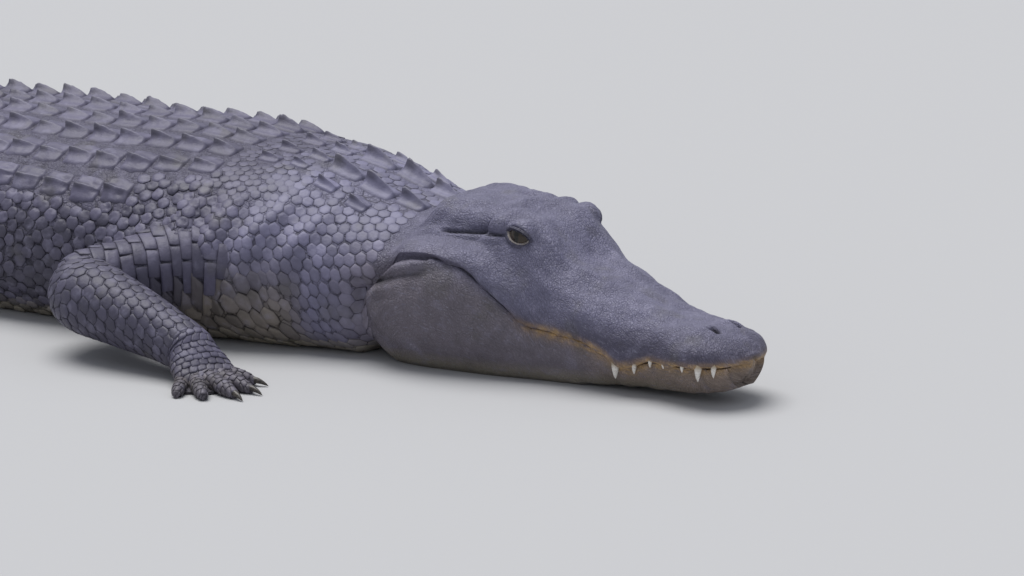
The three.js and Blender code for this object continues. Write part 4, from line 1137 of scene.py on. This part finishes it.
# The scales of neck, flanks and tail lie in staggered rows over the softer hide: lozenges on the
# neck, round bosses on the flanks and oblongs round the tail, each with painted shade in the groove about it.
def clear_of_plates(s, d, margin):
    """Which places lie further than the margin from every plate's outline."""
    long = np.abs(s[:, None] - plates[None, :, 0]) / (plates[None, :, 2] / 2 + margin)
    wide = np.abs(d[:, None] - plates[None, :, 1]) / (plates[None, :, 3] / 2 + margin)
    return np.maximum(long, wide).min(1) > 1


def on_open_skin(s, d):
    """Which places on the body's skin aren't inside a limb and stand clear of the floor."""
    points = body_bed.read(body_bed.points, s, d)
    open_skin = points[:, 2] > 3
    for tubes in limbs.values():
        open_skin &= outside_loft(points, tubes[0]) > 2
        open_skin &= outside_loft(points, tubes[1]) > 2
    return open_skin


def on_chest(s, d):
    """Which places lie low on the chest, between the throat and the arm."""
    low = body_bed.read(body_bed.points, s, d)[:, 2]
    return (s > 560 + 0.6 * np.maximum(low - 30, 0)) & (s < 742) & (low < 92) & (np.abs(d) > 150)


def on_flank(s, d, side):
    """Which places lie on one flank, outside the last column of plates and above the belly."""
    return (side * d > plate_width(s) * (columns_at(s) - 0.35)) & (side * d < 450) & ~on_chest(s, d)


def rows_of_places(s_from, s_to, pitch_s, pitch_d, d_limit, seed, jitter):
    """Staggered places: rows across the animal, every other row shifted by half a scale."""
    draw = np.random.default_rng(seed)
    s = np.arange(s_from, s_to, pitch_s)
    d = np.arange(-d_limit, d_limit, pitch_d)
    ss, dd = np.meshgrid(s, d, indexing="ij")
    dd = dd + (np.arange(len(s)) % 2)[:, None] * pitch_d / 2
    ss = ss + draw.normal(0, jitter * pitch_s, ss.shape)
    dd = dd + draw.normal(0, jitter * pitch_d, dd.shape)
    return ss.ravel(), dd.ravel()


def body_scales(name, s_from, s_to, pitch_s, pitch_d, keep, half, rise, jitter=0.07, **rest):
    """Scales on the body's skin, at the places that the keep test lets stand."""
    s, d = rows_of_places(s_from, s_to, pitch_s, pitch_d, 520, rest["seed"], jitter)
    reach = np.stack([np.interp(s, ring_s, body_bed.reach[:, k]) for k in (0, 1)])
    good = (d > reach[0] + 8) & (d < reach[1] - 8) & keep(s, d)
    s, d = s[good], d[good]
    good = on_open_skin(s, d) & clear_of_plates(s, d, 2)
    s, d = s[good], d[good]
    full = 1 + jitter * waves(s, d, 45, rest["seed"], 2)
    return lay_scales(name, body_bed, s, d, half[0] * full, half[1] * full, rise * full, **rest)


flank_pitch = float(row_pitch(SHOULDER)) / 3
body_scales("neck_scales", 458, 702, 12.6, 15.5,
            lambda s, d: (np.abs(d) < 450) & ((np.abs(d) > 150) | (s < 600)) & ~on_chest(s, d),
            (8.4, 7.75), 1.0, keel=0.1, soft=0.10, seed=21, wear=0.10, tilt=0.3, shade=1.12)
body_scales("chest_scales", 540, 760, 18, 23, on_chest, (12.0, 11.4), 2.6, 0.1,
            soft=0.25, seed=19, wear=0.1, spread=0.35)
body_scales("shoulder_scales", 600, 740, 11.0, 13.0, lambda s, d: np.abs(d) <= 150, (7.3, 6.5), 0.65, 0.14,
            keel=0.3, soft=0.45, seed=20, wear=0.06, spread=0.16)
for side, hand in ((-1, "right"), (1, "left")):
    body_scales("flank_scales_" + hand, 702, 1500, flank_pitch, 16.5,
                lambda s, d, side=side: on_flank(s, d, side), (9.1, 8.1), 1.6, 0.13,
                keel=0.3, soft=0.38, seed=22 + side, wear=0.1, spread=0.3)
body_scales("tail_scales", 1500, 2990, 20.8, 21,
            lambda s, d: (np.abs(d) > np.where(s < CREST_MEET, crest_apart(s) + 12, 9)), (10.4, 10.5), 1.2,
            outline="oblong", soft=0.06, keel=0.1, seed=25, wear=0.08)


# The limbs' scales: broad bands over the upper arm and thigh, lozenges down the forearm and shank.
def limb_scales(name, tube, clear_of, corner, pitch_t, pitch_c, half, rise, seed, **rest):
    """Staggered scales round one tube of a limb, left out where the tube runs inside another."""
    around = tube["around"]
    bed = Bed(tube["points"], tube["normals"], tube["along"], around, tube["tint"], corner, True)
    draw = np.random.default_rng(seed)
    t = np.arange(pitch_t * 0.6, tube["along"][-1] - pitch_t * 0.1, pitch_t)
    share = np.linspace(0, 1, max(3, round(around[:, -1].max() / pitch_c)), endpoint=False)
    half = (half[0], half[1] / pitch_c * around[:, -1].max() / len(share))
    tt, cc = np.meshgrid(t, share, indexing="ij")
    cc = (cc + (np.arange(len(t)) % 2)[:, None] * (share[1] - share[0]) / 2) % 1
    full = np.interp(tt, tube["along"], around[:, -1])
    s, d = tt.ravel(), (cc * full).ravel()
    scale = (full / around[:, -1].max()).ravel()
    points = bed.read(bed.points, s, d)
    good = points[:, 2] > 2.5
    for test in clear_of:
        good &= test(points) > 0.5
    s, d, scale = s[good], d[good], scale[good]
    s = s + draw.normal(0, 0.04 * pitch_t, len(s))
    every = np.ones_like(s)
    return lay_scales(name, bed, s, d, half[0] * every, half[1] * scale, rise * every, seed, **rest)


for k, (name, tubes) in enumerate(limbs.items()):
    fore = name.startswith("fore")
    corner = (0.02 + 0.24 * k, 0.02)
    limb_scales(name + "_upper_scales", tubes[0], [outside_trunk, lambda p, t=tubes[1]: outside_loft(p, t)],
                corner, 14.5, 44, (8.4, 22.0), 1.8, 31 + k, outline="oblong", soft=0.1, tilt=0.7, shade=1.12)
    limb_scales(name + "_lower_scales", tubes[1],
                [lambda p, t=tubes[0]: outside_loft(p, t), lambda p, t=tubes[2]: outside_loft(p, t) + 2.5,
                 outside_trunk],
                (corner[0] + 0.12, corner[1]), 13.5, 17, (9.1, 8.6), 1.0, 41 + k,
                soft=0.06, tilt=0.3, shade=0.86)
    limb_scales(name + "_palm_scales", tubes[2], [lambda p, t=tubes[1]: outside_loft(p, t) + 2.0],
                (corner[0] + 0.2, corner[1]), 8, 11, (5.2, 5.9), 1.3, 51 + k,
                outline="oblong", soft=0.3, tilt=0.4)
    for finger in range(len(FINGERS) if fore else len(TOES)):
        limb_scales(f"{name}_digit{finger}_scales", tubes[3 + finger],
                    [lambda p, t=tubes[2]: outside_loft(p, t) + 1],
                    (corner[0] + 0.2, corner[1] + 0.03 + 0.02 * finger), 7.5, 13, (4.1, 6.4), 0.9,
                    61 + 8 * k + finger, outline="oblong", soft=0.3, tilt=0.4)


# The eyes are wet balls, dark brown with an upright slit, almost hidden under the brow.
def eyeball(side):
    """A sphere about the eye's outward axis, in rings from its front pole to its back one, with the
    clear bulge of the cornea added near the front."""
    centre, forward, up, out = eye_side(side)
    polar = np.linspace(0.02, np.pi - 0.02, 40)[:, None]
    angle = np.linspace(0, 2 * np.pi, 48, endpoint=False)[None]
    radius = EYE_RADIUS - 0.3 + 1.0 * np.exp(-(polar / 0.5) ** 4)
    points = centre + (radius * np.cos(polar) + 0 * angle)[..., None] * out
    points = points + (radius * np.sin(polar) * np.cos(angle))[..., None] * forward
    return points + (radius * np.sin(polar) * np.sin(angle))[..., None] * up, polar, angle


wet_eye = Finish("wet_eye", Roughness=0.12, IOR=1.35, Coat_Weight=0.35, Coat_Roughness=0.03)
iris = wet_eye.value("ShaderNodeAttribute", {"attribute_name": "tint"}, {}, "Color")
fleck = wet_eye.noise(0.0016, 5)
wet_eye.feed(Base_Color=wet_eye.blend(iris, (0.02, 0.012, 0.006, 1), wet_eye.step(fleck, 0.4, 0.7) * 0.6))
for side, hand in ((-1, "right"), (1, "left")):
    points, polar, angle = eyeball(side)
    x, y = np.sin(polar) * np.cos(angle), np.sin(polar) * np.sin(angle)
    slit = (1 - smooth(np.abs(x) / (0.16 * np.clip(1 - (y / 0.62) ** 2, 0.05, 1)), 0.8, 1.2))[..., None]
    rim = smooth(polar + 0 * angle, 0.66, 0.95)[..., None]
    iris_tint = mix(np.array([0.040, 0.027, 0.017]), np.array([0.012, 0.009, 0.008]), rim)
    iris_tint = mix(iris_tint, np.array([0.002, 0.002, 0.002]), slit)
    rows, around = points.shape[:2]
    normal = unit(points - points.reshape(-1, 3).mean(0))
    quads, fans = ring_faces(rows, around, 0, turned_inward(points, normal))
    ball_points = np.concatenate([points.reshape(-1, 3), points[:1].mean(1), points[-1:].mean(1)])
    colours = np.concatenate([iris_tint.reshape(-1, 3), iris_tint[0, :1], iris_tint[-1, :1]])
    ball = make_mesh("eyeball_" + hand, ball_points, [quads, fans], wet_eye.material, {"tint": colours})
    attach(ball, "root")
    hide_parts("eye_" + hand)


# Teeth of the upper jaw that hang outside the lower one: ivory cones, yellowed at the gum.
TEETH = [
    [19, 12, 3.6], [35, 16, 4.6], [54, 6, 2.6], [82, 5.5, 2.4], [102, 7, 2.8], [122, 10, 3.4], [145, 17, 5.2]]


def cones(name, rows_of, finish, sides=14, rings=9):
    """One mesh of curved cones: rings that shrink as the square root of what is left, along a path
    from root to tip that bends towards a given side."""
    t = np.linspace(0, 1, rings)[None, :, None]
    angle = np.linspace(0, 2 * np.pi, sides, endpoint=False)[None, None]
    root, tip, bend, radius = (np.array([r[k] for r in rows_of]) for k in range(4))
    path = mix(root[:, None, None], tip[:, None, None], t[..., None])
    path = path + bend[:, None, None] * (4 * t * (1 - t))[..., None]
    along = unit(tip - root)
    across = unit(np.cross(along, np.array([0.31, 0.52, 0.79])))
    other = np.cross(along, across)
    size = radius[:, None, None] * (1 - t ** 1.6) ** 0.75
    points = path + (size * np.cos(angle))[..., None] * across[:, None, None]
    points = points + (size * np.sin(angle))[..., None] * other[:, None, None]
    count = len(rows_of)
    i, j = np.meshgrid(np.arange(rings - 1), np.arange(sides), indexing="ij")
    a, b = (i * sides + j).ravel(), (i * sides + (j + 1) % sides).ravel()
    quad = np.stack([a, b, b + sides, a + sides], 1)
    faces = (quad[None] + (np.arange(count) * rings * sides)[:, None, None]).reshape(-1, 4)
    caps = np.arange(sides)[None, ::-1] + (np.arange(count) * rings * sides)[:, None]
    made = make_mesh(name, points.reshape(-1, 3), [faces, caps], finish,
                     {"tip": np.tile(np.repeat(np.linspace(0, 1, rings), sides), count)})
    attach(made, "root")
    return made


ivory = Finish("tooth_ivory", Roughness=0.32, IOR=1.5)
gum = 1 - ivory.step(ivory.attribute("tip"), 0.05, 0.45)
ivory_colour = ivory.blend((0.78, 0.75, 0.70, 1), (0.42, 0.34, 0.24, 1), gum)
stain = ivory.step(ivory.noise(0.002, 4), 0.5, 0.75) * 0.6
ivory.feed(Base_Color=ivory.blend(ivory_colour, (0.2, 0.14, 0.08, 1), stain))
teeth = []
for s, length, radius in TEETH:
    for side in (-1, 1):
        out = side * (float(lip_width(s)) - radius - 1.2)
        z = float(lip_height(s))
        turn = side * np.array([-np.sin(heading(s)), np.cos(heading(s)), 0])
        teeth.append([place(s, out, z + 5), place(s + 1.5, out - side * 1.0, z - length), turn * 0.9, radius])
cones("teeth", teeth, ivory.material)


# Claws on the inner three digits of each foot: worn dark horn, curved down to the floor.
horn = Finish("claw_horn", Roughness=0.38, IOR=1.5)
streak = horn.step(horn.noise(0.0015, 4), 0.45, 0.75)
horn.feed(Base_Color=horn.blend((0.030, 0.026, 0.024, 1), (0.13, 0.11, 0.09, 1), streak))
claws = []
for name, tubes in limbs.items():
    side = -1 if name.endswith("right") else 1
    s, digits = (FORE_S, FINGERS) if name.startswith("fore") else (HIND_S, TOES)
    for out0, forward0, out1, forward1, thick in digits[:CLAWED]:
        way = unit(np.array([forward1 - forward0, out1 - out0]))
        ends = []
        for t, extra, z in ((0.84, -2, 6.4), (0.84, 22, 1.0)):
            ends.append(from_trunk(s, side, mix(forward0, forward1, t) + way[0] * extra,
                                   mix(out0, out1, t) + way[1] * extra, z))
        claws.append([ends[0], ends[1], np.array([0, 0, 2.4]), 4.2])
cones("claws", claws, horn.material)


# The stage: a plain pale floor, and soft light from above, as under a studio's bright ceiling.
stage_finish = Finish("stage_paper", Roughness=0.9, Base_Color=(0.44, 0.44, 0.45, 1))
FLOOR_REACH = 60
floor_mesh = bpy.data.meshes.new("floor")
floor_corners = [(FLOOR_REACH * x, FLOOR_REACH * y, 0) for x, y in ((-1, -1), (1, -1), (1, 1), (-1, 1))]
floor_mesh.from_pydata(floor_corners, [], [(0, 1, 2, 3)])
floor_mesh.materials.append(stage_finish.material)
floor = bpy.data.objects.new("floor", floor_mesh)
bpy.context.scene.collection.objects.link(floor)

sky = bpy.data.lights.new("soft_overhead", "SUN")
sky.energy, sky.angle, sky.color = 3.0, np.radians(45), (1.0, 0.99, 0.97)
overhead = bpy.data.objects.new("soft_overhead", sky)
overhead.rotation_euler = Vector((-0.30, 0.12, 1.0)).to_track_quat("Z", "Y").to_euler()
bpy.context.scene.collection.objects.link(overhead)
world = bpy.data.worlds.new("studio")
world.use_nodes = True
ceiling = world.node_tree.nodes["Background"].inputs
ceiling["Color"].default_value = (0.80, 0.84, 0.92, 1)
ceiling["Strength"].default_value = 0.55
bpy.context.scene.world = world
bpy.context.scene.view_settings.view_transform = "Standard"


# The camera stands low and to the animal's right, ahead of it, at the photograph's place.
CAMERA_TURN, CAMERA_RISE, CAMERA_AWAY, CAMERA_LENS = np.radians(33), np.radians(14), 7.0, 216.11
target = Vector((0.6920, -0.0989, 0.10))
away = Vector((np.sin(CAMERA_TURN) * np.cos(CAMERA_RISE), -np.cos(CAMERA_TURN) * np.cos(CAMERA_RISE),
               np.sin(CAMERA_RISE)))
lens = bpy.data.cameras.new("camera")
lens.lens, lens.sensor_width, lens.clip_end = CAMERA_LENS, 36, 100
camera = bpy.data.objects.new("camera", lens)
camera.location = target + away * CAMERA_AWAY
camera.rotation_euler = (-away).to_track_quat("-Z", "Y").to_euler()
bpy.context.scene.collection.objects.link(camera)
bpy.context.scene.camera = camera
